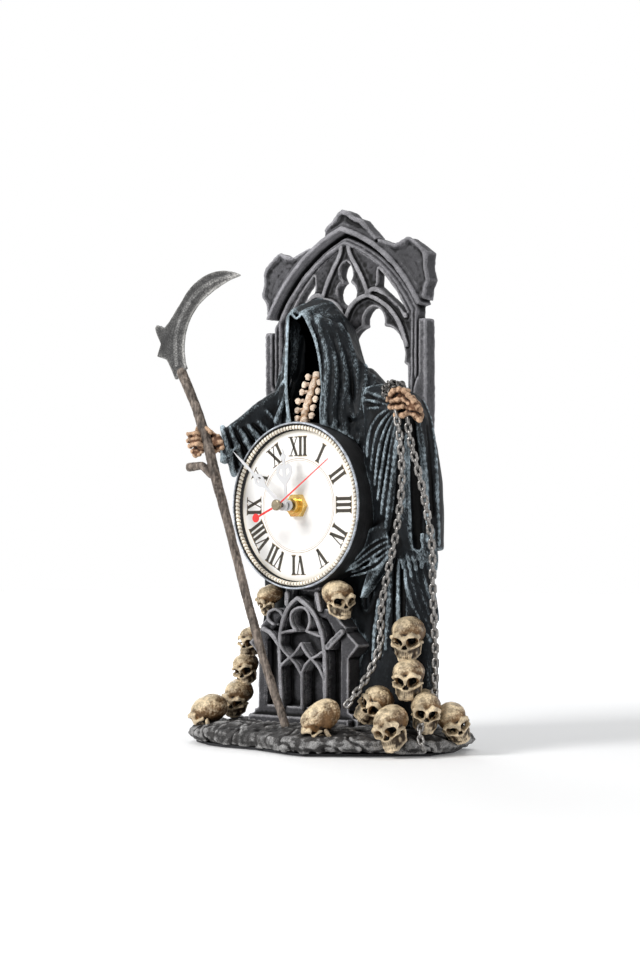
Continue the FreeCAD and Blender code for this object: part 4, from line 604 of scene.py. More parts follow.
def in_view(tree):
    """One for what the camera sees directly, in a mirror or through glass; zero for other rays."""
    rays = add_node(tree, "LightPath").outputs
    through = add_math(tree, "MAXIMUM", rays["Is Camera Ray"], rays["Is Transmission Ray"])
    return add_math(tree, "MAXIMUM", through, rays["Is Glossy Ray"])


def floor_material():
    """White to the camera and in mirrors and glass; the floor keeps a soft shadow of the clock."""
    material, tree, body = shader("floor", 0.9, 0.0, 0.5)
    body.inputs["Base Color"].default_value = (0.93, 0.93, 0.93, 1.0)
    body.inputs["Emission Color"].default_value = (*WHITE, 1.0)
    place = add_node(tree, "TexCoord").outputs["Object"]
    away = add_node(tree, "VectorMath", {0: place}, operation="LENGTH")
    far = add_range(tree, away.outputs["Value"], 0.25, 1.1, 0.10, 1.0)
    tree.links.new(add_product(tree, far, in_view(tree)), body.inputs["Emission Strength"])
    return material


def add_stage():
    mesh = bpy.data.meshes.new("floor")
    corners = [(x * FLOOR_HALF, y * FLOOR_HALF, 0) for x, y in ((-1, -1), (1, -1), (1, 1), (-1, 1))]
    mesh.from_pydata(corners, [], [(0, 1, 2, 3)])
    mesh.materials.append(floor_material())
    floor = bpy.data.objects.new("floor", mesh)
    floor.location = (0.0, 0.0, -0.0004)
    bpy.context.scene.collection.objects.link(floor)
    world = bpy.data.worlds.new("room")
    world.use_nodes = True
    tree = world.node_tree
    background = tree.nodes["Background"]
    glow = add_node(tree, "MapRange", {0: in_view(tree), 3: ROOM_LIGHT, 4: 1.0})
    tree.links.new(glow.outputs[0], background.inputs["Strength"])
    background.inputs["Color"].default_value = (*WHITE, 1.0)
    bpy.context.scene.world = world


def add_light(name, place, target, size, power, colour=WHITE):
    data = bpy.data.lights.new(name, "AREA")
    data.shape = "RECTANGLE"
    data.size, data.size_y = size
    data.energy = power
    data.color = colour
    light = bpy.data.objects.new(name, data)
    light.location = place
    way = Vector(target) - Vector(place)
    light.rotation_euler = way.to_track_quat("-Z", "Y").to_euler()
    bpy.context.scene.collection.objects.link(light)


add_stage()
add_light("key", (-0.36, -1.14, 0.88), (0.0, 0.0, 0.15), (0.5, 0.5), 15.0)
add_light("side", (1.05, 0.15, 0.45), (0.0, 0.0, 0.15), (0.5, 0.8), 1.6, (0.95, 0.97, 1.0))
add_light("top", (0.05, 0.1, 1.1), (0.0, 0.0, 0.2), (0.7, 0.5), 2.8)
add_light("back", (-0.75, 0.55, 0.5), (0.0, 0.0, 0.18), (0.4, 0.8), 3.0, (0.92, 0.96, 1.0))


# Drum, beaded ring and dial

DRUM_R = 45.9
BEAD_R = 1.2
BEAD_CIRCLE = 42.9
BEAD_COUNT = 124
BEAD_Y = -16.55


def build_drum():
    profile = [(44.3, -13.2, 0.0), (44.3, -16.4, -0.6), (44.6, -17.0, -0.4), (45.0, -17.95, 0.9),
               (45.45, -17.95, 1.0), (45.85, -17.4, 0.9), (45.9, -16.6, 0.1), (45.9, -15.6, -0.3)]
    for index, y in enumerate(np.linspace(-15.0, -1.4, 24)):
        profile.append((45.86 + 0.04 * math.sin(index * 1.7), y, 0.05 * math.sin(index * 2.1)))
    profile += [(45.7, -1.02, 0.1), (43.4, -1.02, 0.0), (43.4, -12.3, 0.0), (5.1, -12.3, 0.0),
                (5.1, -13.2, 0.0)]
    points, faces, ridge = lathe(profile, 360)
    add_piece("drum_shell", points, faces, DRUM, ("drum",), ridge=ridge)


def build_beads():
    """A rope of beads: each bead is pinched from its neighbours and leans with the rope's twist."""
    around, about = 8, 12
    total = BEAD_COUNT * around
    step = np.arange(total)[:, None]
    roll = 2 * math.pi * np.arange(about) / about
    swell = np.sin(math.pi * (step % around) / around) ** 0.55
    radius = BEAD_R * (0.60 + 0.40 * swell)
    out = BEAD_CIRCLE + radius * np.cos(roll)
    angle = 2 * math.pi * step / total + 0.010 * np.sin(roll)
    points = np.stack([out * np.cos(angle), BEAD_Y + radius * np.sin(roll), DIAL_Z + out * np.sin(angle)], 2)
    # Painted highlight on each bead's crown and painted shadow in the pinches between beads
    ridge = np.repeat(1.3 * (swell - 0.62), about, 1)
    faces = grid_faces(total, about)[:, [0, 3, 2, 1]]
    add_piece("rope_of_beads", points.reshape(-1, 3), faces, BEAD, ("bead_ring",),
              ridge=ridge.ravel())


def slab(outline, front, back):
    """Points and faces of a flat shape with an edge, its outline given as (x, z) pairs, counterclockwise."""
    count = len(outline)
    points = [(x, y, z) for y in (front, back) for x, z in outline]
    faces = [tuple(range(count)), tuple(reversed(range(count, 2 * count)))]
    for index in range(count):
        following = (index + 1) % count
        faces.append((index, index + count, following + count, following))
    return np.array(points, float), faces


def stroke_of(kind, x, height, width):
    """Outlines of one Roman letter standing on the middle line, each a list of (across, up)."""
    thick, thin, foot, short_foot = 0.165 * height, 0.062 * height, 0.15 * height, 0.126 * height
    half = height / 2
    serif = 0.045 * height

    def upright(middle):
        flare = thick / 2 + 0.02 * height
        right = [(foot, -half), (flare, -half + serif * 1.6), (thick / 2, -half + serif * 3),
                 (thick / 2, half - serif * 3), (flare, half - serif * 1.6), (foot, half)]
        return [(middle + a, b) for a, b in right] + [(middle - a, b) for a, b in reversed(right)]

    def sloped(low_x, high_x, weight):
        return [(low_x - weight / 2, -half + serif), (low_x + weight / 2, -half + serif),
                (high_x + weight / 2, half - serif), (high_x - weight / 2, half - serif)]

    def bar(middle, low, reach):
        return [(middle - reach, low), (middle + reach, low), (middle + reach, low + serif),
                (middle - reach, low + serif)]

    if kind == "I":
        return [upright(x)]
    spread = width * (0.32 if kind == "V" else 0.33)
    left, right = x - spread, x + spread
    tops = [bar(left, half - serif, foot), bar(right, half - serif, short_foot)]
    if kind == "V":
        low = x + 0.02 * height
        return [sloped(low, left, thick), sloped(low, right, thin)] + tops
    feet = [bar(left, -half, short_foot), bar(right, -half, foot)]
    return [sloped(right, left, thick), sloped(left, right, thin)] + tops + feet


NUMERALS = ("I", "II", "III", "IV", "V", "VI", "VII", "VIII", "IX", "X", "XI", "XII")
LETTER_WIDTHS = {"I": 0.30, "V": 0.60, "X": 0.60}
NUMERAL_HEIGHT = 10.8
NUMERAL_CIRCLE = 32.6
DIAL_FRONT = -14.0
DIAL_BACK = -13.25
DIAL_CIRCLES = ((25.7, 0.34), (24.8, 0.2))
NUMERAL_LAYERS = (("numeral_edges", 0.30, 0.035, GOLD_EDGE), ("numerals", 0.0, 0.07, INK))


def numeral_parts(grow, front, back):
    """All twelve numerals, each letter grown outwards by that much."""
    parts = []
    for number, text in enumerate(NUMERALS, start=1):
        turn = math.radians(90 - 30 * number)
        up = np.array((math.cos(turn), math.sin(turn)))
        across = np.array((up[1], -up[0]))
        tight = 0.92 if len(text) == 4 else 1.0
        widths = [LETTER_WIDTHS[letter] * NUMERAL_HEIGHT * tight for letter in text]
        x = -sum(widths) / 2
        for letter, width in zip(text, widths):
            for outline in stroke_of(letter, x + width / 2, NUMERAL_HEIGHT, width / tight * 0.98):
                away = np.array(outline) - np.mean(outline, axis=0)
                moved = outline + away / np.maximum(np.hypot(*away.T), 0.01)[:, None] * grow
                placed = (0, DIAL_Z) + (NUMERAL_CIRCLE + moved[:, 1:]) * up + moved[:, :1] * across
                parts.append(slab(placed, front, back))
            x += width
    return joined(parts)


def build_dial():
    profile = [(4.2, DIAL_FRONT, 0)]
    profile += [(radius, DIAL_FRONT, 0) for radius in np.linspace(5.0, 41.3, 60)]
    profile += [(41.45, DIAL_FRONT + 0.1, 0), (41.45, DIAL_BACK, 0), (4.2, DIAL_BACK, 0)]
    points, faces, ridge = lathe(profile, 180)
    add_piece("dial_sheet", points, faces, dial_material(), ("dial",), ridge=ridge)
    for name, grow, raised, paint in NUMERAL_LAYERS:
        points, faces = numeral_parts(grow, DIAL_FRONT - raised, DIAL_FRONT + 0.02)
        add_piece(name, points, faces, paint, smooth=False)
    rings = []
    for radius, width in DIAL_CIRCLES:
        low, high = DIAL_FRONT - 0.03, DIAL_FRONT + 0.01
        profile = [(radius, low, 0), (radius + width, low, 0), (radius + width, high, 0), (radius, high, 0)]
        rings.append(lathe(profile, 240))
    points, faces = joined(rings)
    add_piece("dial_circles", points, faces, TAN_LINE)


build_drum()
build_beads()
build_dial()


# Materials of the model's own pieces

NODE_MATERIALS = {
    FELT: ("felt_base",), BRASS: ("threaded_bush", "hex_nut"), CHAIN: ("front_chain", "side_chain"),
    CASE: ("movement_case", "movement_cover"), RUBBER: ("rubber_washer",), COPPER: ("coil",),
    STEEL: ("stator", "battery_contacts", "cannon_pinion", "hour_wheel"), BOARD: ("circuit_board",),
    CELL: ("battery",),
    GEAR: ("rotor", "fifth_wheel", "fourth_wheel", "third_wheel", "centre_wheel", "minute_wheel", "set_knob"),
    HAND_WHITE: ("hour_hand", "minute_hand"), HAND_RED: ("second_hand",),
    ROCK: ("rock_base",), MASONRY: ("plinth", "arch_frame", "hood_mould", "finial", "crockets"),
    TRACERY: ("plinth_tracery", "arch_tracery"), CLOTH: ("robe", "hood", "right_sleeve", "left_sleeve"),
    BONE: ("breastbone", "right_hand", "left_hand"), WOOD: ("scythe_pole",),
    PEWTER: ("scythe_blade", "blade_rivet"), SKULL: tuple("skull_%02d" % number for number in range(1, 15)),
}


def colour_nodes():
    for material, names in NODE_MATERIALS.items():
        for name in names:
            mesh = nodes[name].data
            mesh.materials.clear()
            mesh.materials.append(material)


colour_nodes()


# Skulls, modelled facing -Y in a cube of one unit and then sized, turned and set in place

SKULL_SIZE = 24.0
SKULL_STEP = 0.36
TOOTH_TURN = 0.27
JAW_DROPS = (0.01, 0.035, 0.02, 0.0)
SKULL_PLACES = (
    (-55.9, -25, 15.4, -68, 22, 0, 1), (-54.4, -4, 24.2, 22, 16, 12, 0.93),
    (-53.3, 2, 40, 20, 8, -8, 0.85), (-51.6, 5, 55.4, 10, 0, 5, 0.82),
    (-27, -6.5, 80.6, -35, 24, 10, 0.70), (26.1, -11, 81.2, 66, 8, -5, 0.94),
    (41.3, -41, 16.8, -50, 38, 8, 1.04), (56.8, -17.5, 25.4, 20, -2, 38, 1),
    (76.2, -27, 15.6, 10, 14, -15, 1.02), (67.9, -3, 60.8, 27, 9, 0, 1.06),
    (72.2, -8, 39.3, 29, 5, 0, 1.02), (77.4, -1, 25.4, 42, 0, 4, 0.80),
    (83.5, -8, 22.6, 42, 4, 3, 0.94), (91, 6.2, 17, 46, 16, -25, 0.95),
)


def skull_clay(seed, jaw_drop):
    """A worn skull: dome, brow, cheeks, sockets, nose, teeth and a jaw that hangs a little."""
    unit = SKULL_SIZE
    clay = Clay(np.array((-0.42, -0.54, -0.53)) * unit, np.array((0.42, 0.52, 0.52)) * unit, SKULL_STEP)
    drop = np.array((0, 0.03, 0.06 - jaw_drop))

    def lump(centre, radii, blend=0.05, cut=False):
        clay.put(ball(np.array(centre) * unit, np.array(radii) * unit), blend * unit, cut)

    def limb(start, end, radius, end_radius, blend=0.04, cut=False):
        clay.put(rod(np.array(start) * unit, np.array(end) * unit, radius * unit, end_radius * unit),
                 blend * unit, cut)

    def hung(x, y, z):
        return np.array((x, y, z)) + drop

    lump((0, 0.06, 0.13), (0.345, 0.42, 0.325))
    lump((0, -0.16, 0.17), (0.285, 0.25, 0.25), 0.1)
    lump((0, -0.30, -0.15), (0.17, 0.15, 0.18), 0.08)
    for side in (-1, 1):
        lump((side * 0.42, -0.22, 0.01), (0.10, 0.14, 0.14), 0.11, True)
        limb((side * 0.02, -0.43, 0.035), (side * 0.15, -0.42, 0.112), 0.055, 0.066, 0.05)
        limb((side * 0.15, -0.42, 0.115), (side * 0.285, -0.30, 0.085), 0.062, 0.045, 0.06)
        limb((side * 0.10, -0.36, -0.11), (side * 0.24, -0.31, -0.08), 0.05, 0.055)
        limb((side * 0.24, -0.31, -0.08), (side * 0.315, -0.10, -0.06), 0.04, 0.03)
        limb((side * 0.26, -0.33, 0.05), (side * 0.26, -0.31, -0.07), 0.038, 0.04)
        lump((side * 0.275, -0.18, -0.20), (0.11, 0.18, 0.13), 0.03, True)
    for side in (-1, 1):
        lump((side * 0.158, -0.42, -0.004), (0.128, 0.20, 0.102), 0.012, True)
        lump((side * 0.125, -0.42, -0.05), (0.092, 0.19, 0.08), 0.012, True)
        lump((side * 0.14, -0.28, -0.01), (0.08, 0.13, 0.075), 0.02, True)
    lump((0, -0.47, -0.10), (0.042, 0.14, 0.075), 0.012, True)
    for side in (-1, 1):
        lump((side * 0.03, -0.47, -0.135), (0.044, 0.14, 0.04), 0.01, True)
    limb((0, -0.455, 0.03), (0, -0.475, -0.045), 0.028, 0.02, 0.025)
    for side in (-1, 1):
        corner = hung(side * 0.225, -0.10, -0.34)
        chin = hung(side * 0.12, -0.34, -0.42)
        limb((side * 0.255, -0.03, -0.13), corner, 0.045, 0.05, 0.03)
        limb(corner, chin, 0.05, 0.052, 0.03)
        limb(chin, hung(0, -0.385, -0.425), 0.05, 0.055, 0.03)
    limb((-0.09, -0.325, -0.245), (0.09, -0.325, -0.245), 0.078, 0.078, 0.03)
    for side in (-1, 1):
        lump((side * 0.185, -0.17, -0.24), (0.06, 0.13, 0.12), 0.04)
    limb(hung(-0.11, -0.30, -0.37), hung(0.11, -0.30, -0.37), 0.065, 0.065, 0.03)
    for angle in TOOTH_TURN * np.arange(-3, 4):
        x, y = 0.165 * math.sin(angle), -0.255 - 0.165 * math.cos(angle)
        limb((x * 0.96, y, -0.215), (x, y - 0.014, -0.312), 0.029, 0.029, 0.006)
        limb(hung(x * 0.92, y - 0.03, -0.43), hung(x * 0.92, y - 0.036, -0.368), 0.026, 0.026, 0.006)
    for angle in TOOTH_TURN * (np.arange(-4, 4) + 0.5):
        x, y = 0.178 * math.sin(angle), -0.272 - 0.178 * math.cos(angle)
        limb((x, y - 0.012, -0.232), (x, y - 0.022, -0.335), 0.011, 0.017, 0.004, True)
        limb(hung(x * 0.93, y - 0.03, -0.42), hung(x * 0.93, y - 0.036, -0.36), 0.010, 0.014, 0.004, True)
    clay.roughen((4.5, 0.34, seed), (1.6, 0.14, seed + 9))
    sutures = np.abs(clay.noise(8.0, seed + 20) + 0.25 * clay.noise(1.2, seed + 21))
    clay.field += 0.35 * fade(sutures, 0.07, -0.07) * ((clay.z > 0.1 * unit) | (clay.y > 0))
    return clay


def build_skulls():
    casts = [skull_clay(31 + index, drop).surface(1.3, 1.7) for index, drop in enumerate(JAW_DROPS)]
    for number, (x, y, z, turn, nod, lean, size) in enumerate(SKULL_PLACES, start=1):
        points, faces, ridge = casts[number % len(casts)]
        # Painted shade: below the cheekbones, apart from the ridges, the face is darkened as if lying deep
        low_face_shade = fade(points[:, 2], -0.08 * SKULL_SIZE, -2.0) * fade(ridge[:, 0], 0.8, -0.5)
        ridge = np.stack([ridge[:, 0], np.maximum(ridge[:, 1], 0.58 * low_face_shade)], 1)
        points = (points * size) @ turned(turn, nod, lean).T + np.array((x, y, z))
        name = "skull_%02d" % number
        add_piece("carved_" + name, points, faces, SKULL, (name,), ridge=ridge)


build_skulls()


# Base shapes: a block of clay filled with the outlines of the model's own pieces

BAND = 7.0
BOX_GAP = 0.06


def clay_of(names, step, grow=2.0, low=None, high=None):
    """Clay in the shape of one or more pieces of the model, a little room left around them."""
    tables = []
    for name in names:
        mesh = nodes[name].data
        mesh.calc_loop_triangles()
        corners = np.empty(len(mesh.loop_triangles) * 3, np.int32)
        mesh.loop_triangles.foreach_get("vertices", corners)
        tables.append((mesh_places(mesh), corners.reshape(-1, 3)))
    if low is None:
        low = np.min([points.min(0) for points, _ in tables], 0) - grow
    if high is None:
        high = np.max([points.max(0) for points, _ in tables], 0) + grow
    clay = Clay(low, high, step)
    for points, corners in tables:
        places = ((points - clay.low) / clay.step).astype(np.float32)
        grid = openvdb.FloatGrid.createLevelSetFromPolygons(
            places, triangles=corners.astype(np.uint32), transform=openvdb.createLinearTransform(1.0),
            halfWidth=BAND)
        shape = np.full(clay.field.shape, BAND, np.float32)
        grid.copyToArray(shape)
        clay.fill(shape * clay.step)
    return clay


def stretch_distance(x, z, start, end):
    """Squared distance in a plane to one straight stretch."""
    (ax, az), (bx, bz) = start, end
    wide, tall = bx - ax, bz - az
    share = np.clip(((x - ax) * wide + (z - az) * tall) / (wide * wide + tall * tall + 1e-12), 0, 1)
    return (x - ax - share * wide) ** 2 + (z - az - share * tall) ** 2


def line_distance(x, z, line):
    """Distance in a plane to an open line of (x, z) points."""
    near = np.full(np.broadcast(x, z).shape, 1e9)
    for start, end in zip(line[:-1], line[1:]):
        near = np.minimum(near, stretch_distance(x, z, start, end))
    return np.sqrt(near)


def outline_distance(x, z, outline):
    """Distance in a plane to a closed outline of (x, z) points, negative inside."""
    inside = np.zeros(np.broadcast(x, z).shape, bool)
    for (ax, az), (bx, bz) in zip(outline, outline[1:] + outline[:1]):
        if abs(bz - az) > 1e-9:
            inside ^= ((az > z) != (bz > z)) & (x < ax + (z - az) * (bx - ax) / (bz - az))
    return np.where(inside, -1.0, 1.0) * line_distance(x, z, outline + outline[:1])


def eased(points, rounds=2):
    """Cut the corners of an open line so that it runs in curves."""
    points = [tuple(float(value) for value in point) for point in points]
    for _ in range(rounds):
        smooth = [points[0]]
        for a, b in zip(points[:-1], points[1:]):
            smooth.append(tuple(0.75 * p + 0.25 * q for p, q in zip(a, b)))
            smooth.append(tuple(0.25 * p + 0.75 * q for p, q in zip(a, b)))
        smooth.append(points[-1])
        points = smooth
    return points


def eased_line(pixels, y, rounds=2):
    """A curved line through pixels of the photograph, on the plane of that y."""
    return eased([spot(px, py, y) for px, py in pixels], rounds)


def flat_line(pixels, y):
    """The same as (x, z) pairs."""
    return eased([spot(px, py, y)[::2] for px, py in pixels])


def keep_in_box(clay):
    """Hold the clay within the model's overall box."""
    low = np.array(cad_box[0]) / MM + BOX_GAP
    high = np.array(cad_box[1]) / MM - BOX_GAP
    for values, least, most in zip((clay.x, clay.y, clay.z), low, high):
        clay.trim(np.maximum(least - values, values - most))


# Arch: mouldings, pierced tracery and leaves

ARCH_FRONT = 24.0
ARCH_SPRING = 198.1
ARCH_OFFSET = 29.2
ARCH_OUTER = 96.5
ARCH_INNER = 86.6
ARCH_JAMB = 57.4
COLUMN_INNER = 47.2
LIGHT_RISE = 81.53
HEAD_Z = 236.0
MOULD_Z = 241.0
GROOVE_DEPTH = 4.9
ARCH_PIECES = ("arch_frame", "hood_mould", "finial", "crockets")


def ridge_line(distance, centre, width, height):
    """A rounded moulding that stands out by height where the distance is near its centre."""
    return height * np.exp(-((distance - centre) / width) ** 2)


CENTRE_LIGHT = [(0, 0.885), ((0.085, 0.835), (0.045, 0.745)), ((0.148, 0.675), (0, 0.585)),
                ((-0.148, 0.675), (-0.045, 0.745)), ((-0.085, 0.835), (0, 0.885))]
SPANDREL = [(0.5, 0.808), (0.487, 0.697), (0.925, 0.492), ((0.775, 0.63), (0.5, 0.808))]
SIDE_LIGHT = [(0.411, 0.553), ((0.565, 0.50), (0.58, 0.417)), ((0.79, 0.36), (0.875, 0.155)),
              (0.932, 0.135), (0.932, -0.13), (0.06, -0.13), (0.06, 0.20), ((0.12, 0.37), (0.28, 0.424)),
              ((0.285, 0.50), (0.411, 0.553))]

# Bars of the tracery: pixels of the photograph on the right half, mirrored for the left
TRACERY_BARS = [
    [(342, 246), (350, 254), (358, 268), (364, 281), (368, 293)],
    [(368, 295), (358, 299), (350, 308), (345, 320)],
    [(368, 295), (380, 300), (392, 310), (401, 324), (407, 345)],
    [(368, 293), (374, 288), (388, 294), (399, 303), (406, 316)],
]


# Leaves on the arch's outer edge: their curled lips and creases, (x, z) in millimetres on the front
LEAF_EDGE = [(38.5, 275.6), (43.5, 277), (47, 279), (52, 275.6), (58.5, 269.5), (58.2, 262.5), (60, 255)]
LEAF_CREASE = [(41.5, 270.5), (48, 268.5), (53, 262.5), (55, 255), (54.2, 248)]
FINIAL_LIP = [(-12, 289), (-6.5, 293), (-1.5, 298.3), (3, 297), (7.5, 293.5), (13, 291.5), (17, 287.5)]
FINIAL_CURL = [(2.5, 293.5), (7, 290.5), (11.5, 288.6)]
UNTOUCHED = -40.0


def arc_through(start, middle, end, count=7):
    """Points of the arc through three places, the first left out."""
    (ax, az), (bx, bz), (cx, cz) = start, middle, end
    double = 2 * (ax * (bz - cz) + bx * (cz - az) + cx * (az - bz))
    a2, b2, c2 = ax * ax + az * az, bx * bx + bz * bz, cx * cx + cz * cz
    ox = (a2 * (bz - cz) + b2 * (cz - az) + c2 * (az - bz)) / double
    oz = (a2 * (cx - bx) + b2 * (ax - cx) + c2 * (bx - ax)) / double
    radius = math.hypot(ax - ox, az - oz)
    first = math.atan2(az - oz, ax - ox)
    halfway = (math.atan2(bz - oz, bx - ox) - first) % (2 * math.pi)
    sweep = (math.atan2(cz - oz, cx - ox) - first) % (2 * math.pi)
    if halfway > sweep:
        sweep -= 2 * math.pi
    turns = [first + sweep * step / count for step in range(1, count + 1)]
    return [(ox + radius * math.cos(turn), oz + radius * math.sin(turn)) for turn in turns]


def light_outline(steps):
    """A pierced light from corners and arcs, as shares of the column's inner half width and the rise."""
    def place(pair):
        return (pair[0] * COLUMN_INNER, ARCH_SPRING + pair[1] * LIGHT_RISE)

    outline = [place(steps[0])]
    for step in steps[1:]:
        if isinstance(step[0], tuple):
            outline += arc_through(outline[-1], place(step[0]), place(step[1]))
        else:
            outline.append(place(step))
    return outline


def arch_distances(clay):
    """For each place across and up: depth inside the outer edge, and depth outside the opening."""
    across, up = clay.flat()
    arc = np.hypot(np.abs(across) + ARCH_OFFSET, up - ARCH_SPRING)
    jamb = np.where(up < ARCH_SPRING, np.abs(across) - ARCH_JAMB, arc - ARCH_INNER)
    return ARCH_OUTER - arc, np.maximum(np.abs(across) - COLUMN_INNER, jamb)


def arch_mouldings(clay):
    """Rolls and hollows along the opening, and the cove under the hood mould."""
    up = clay.flat()[1]
    outer, opening = arch_distances(clay)
    curved = fade(up, 196.0, 8.0)
    relief = np.where((opening > 0) & (opening < 1.6 + 4.0 * curved), -1.6, 0.0)
    relief += ridge_line(opening, 1.0 + 0.4 * curved, 0.6, 1.3) + curved * ridge_line(opening, 4.0, 0.85, 1.7)
    relief -= ridge_line(opening, 2.0 + 3.7 * curved, 0.5, 2.6) + curved * ridge_line(opening, 2.6, 0.35, 0.8)
    relief -= fade(up, HEAD_Z, 3.0) * ridge_line(outer, GROOVE_DEPTH, 1.6, 4.6)
    body = (opening > -0.5) & ((outer > 3.4) | (up < MOULD_Z))
    clay.trim_front(np.where(body, ARCH_FRONT - relief, UNTOUCHED))
    mould = (outer > -1.0) & (outer < 3.6) & (up > MOULD_Z)
    bevel = ARCH_FRONT - 2.5 + 1.3 * np.clip(1.0 - outer / 1.1, 0, 1) ** 2 + 0.9 * fade(outer, 2.6, 1.0) ** 2
    clay.trim_front(np.where(mould, bevel, UNTOUCHED))


def arch_leaves(clay):
    """Scooped leaves outside the mould, with creases and curled lips on the crockets and the finial."""
    outer = arch_distances(clay)[0]
    layer = int((ARCH_FRONT + 3.0 - clay.low[1]) / clay.step)
    scoop = 2.8 * fade(-clay.field[:, layer, :], 1.3, 4.5) ** 0.7
    clay.trim_front(np.where(outer < -0.4, ARCH_FRONT - 0.4 + scoop, UNTOUCHED))
    for side in (-1, 1):
        for line, radius, cut in ((LEAF_CREASE, 1.0, True), (LEAF_EDGE, 0.9, False)):
            clay.stroke(eased([(side * x, ARCH_FRONT - 0.2, z) for x, z in line], 1), radius, 0.8, cut)
    for line, cut in ((FINIAL_CURL, True), (FINIAL_LIP, False)):
        clay.stroke(eased([(x, ARCH_FRONT + 0.2, z) for x, z in line], 1), 1.2, 0.8, cut)


def build_arch():
    clay = clay_of(ARCH_PIECES, 0.52, high=(64, 34.4, 301.5))
    arch_mouldings(clay)
    arch_leaves(clay)
    clay.soften(1)
    clay.roughen((7.0, 0.22, 3), (2.2, 0.16, 4), (1.1, 0.10, 5))
    keep_in_box(clay)
    piece = cast("arch_stone", clay, MASONRY, ARCH_PIECES, 1.1, 2.4)
    x, y, z = mesh_places(piece.data).T
    # Painted shade: the groove under the hood mould is darkened, and the arch grows darker towards its upper
    # right, away from the key light
    depth = ARCH_OUTER - np.hypot(np.abs(x) + ARCH_OFFSET, z - ARCH_SPRING)
    groove_shade = ridge_line(depth, GROOVE_DEPTH, 1.5, 0.95)
    groove_shade = groove_shade * fade(z, HEAD_Z, 3.0) * fade(y, ARCH_FRONT + 0.4, 0.8)
    upper_right_shade = 0.34 * fade(z, 205.0, 35.0) * fade(x, -12.0, 24.0)
    set_layer(piece.data, "shade", np.maximum(groove_shade, upper_right_shade))


def build_tracery():
    clay = clay_of(("arch_tracery",), 0.5, low=(-53.0, 23.5, 195.5), high=(53.0, 34.0, 284.0))
    y = clay.y
    across, up = clay.flat()
    across = np.abs(across)
    lights = (CENTRE_LIGHT, SPANDREL, SIDE_LIGHT)
    edge = np.min([outline_distance(across, up, light_outline(shape)) for shape in lights], 0)
    lines = [eased([(abs(x), z) for x, _, z in eased_line(bar, 26.5, 0)]) for bar in TRACERY_BARS]
    bars = np.min([line_distance(across, up, line) for line in lines], 0)
    relief = -1.7 + ridge_line(edge, 0.9, 0.55, 1.5) + ridge_line(bars, 0.0, 1.1, 1.9)
    relief += ridge_line(bars, 2.5, 0.55, 0.9) - ridge_line(bars, 1.6, 0.4, 0.6)
    clay.trim_front(26.0 - np.clip(relief, -2.2, 0.9))
    raised = np.maximum((bars - 1.3)[:, None, :], np.maximum(25.2 - y, y - 29.0))
    raised = np.maximum(raised, (0.3 - edge)[:, None, :]).astype(np.float32)
    clay.field = smooth_min(clay.field, raised, 0.5)
    # Painted shade: the pierced lights are backed with a wall in the dark tracery paint, standing in for
    # their shadowed openings
    solid = np.maximum(np.maximum(-edge, arch_distances(clay)[1] - 0.4), 197.4 - up)
    clay.fill(np.maximum(solid[:, None, :], np.maximum(27.7 - y, y - 33.6)))
    clay.soften(1)
    clay.roughen((5.0, 0.15, 13), (1.4, 0.14, 14))
    cast("arch_lights", clay, TRACERY, ("arch_tracery",), 1.1, 2.2)


build_arch()
build_tracery()


# Plinth: recessed panel, window bars, braces and buttress shoulders

WINDOW_FRONT = -13.2
PANEL_BACK = -4.2
PLINTH_FRONT = -10.5
PLINTH_HALF = 39.5
PLINTH_TOP = 86.1
# Half of the sunk panel's edge, as shares of the plinth's width and height
PANEL_EDGE = ((0.34, 0.25), (0.34, 0.67), (0.215, 0.815), (0.1, 0.83), (0.1, 1.03))
# Bars of the window: pixels of the photograph and half widths
WINDOW_BARS = [
    ([(296.4, 598), (289.4, 603.8), (282.7, 616.3), (279.4, 631.2), (278.4, 647.2), (279, 663.3),
      (280.8, 707)], 1.25),
    ([(296.4, 598), (304.5, 603.8), (313.5, 614), (319.6, 628.9), (323.2, 647.2), (324.3, 663.3),
      (324.3, 707)], 1.35),
    ([(279.6, 633.5), (285.9, 631), (295.5, 630.6)], 0.8),
    ([(295.5, 630.6), (290.6, 624.3), (289.4, 614), (294.4, 608.6), (300.5, 606.8), (306.4, 609.5),
      (309.2, 616.5), (308.9, 625.4), (306, 631.2)], 0.8),
    ([(306, 631.2), (311.2, 633.5), (318.8, 636.3)], 0.8),
    ([(300.3, 643.8), (295.5, 652), (289.4, 657.6), (283.5, 662), (279.4, 666.8)], 0.85),
    ([(300.3, 643.8), (304.8, 652.5), (310, 658.7), (315.5, 664), (319.5, 670.2), (322.5, 677)], 0.85),
    ([(279.6, 645.5), (283.5, 652.5), (289.4, 657.6), (295.6, 664.5), (300.6, 675)], 0.85),
    ([(320.5, 652.5), (315.5, 656.5), (310, 658.7), (304.8, 664.5), (300.8, 673)], 0.85),
    ([(301, 673), (301.2, 690), (301.2, 708)], 1),
    ([(268.3, 611.5), (273.5, 608.8), (278.5, 610.5), (281.5, 615)], 0.8),
    ([(268.3, 611.5), (266.2, 617), (269, 622.2), (273, 624.6)], 0.8),
    ([(263, 629), (270, 633), (279, 645.5)], 1.4),
    ([(327, 646.8), (333, 640), (340.5, 632.5)], 1.9),
    ([(285.9, 594), (285.9, 604)], 1.6),
    ([(315.8, 594), (318.6, 609.5)], 1.5),
]


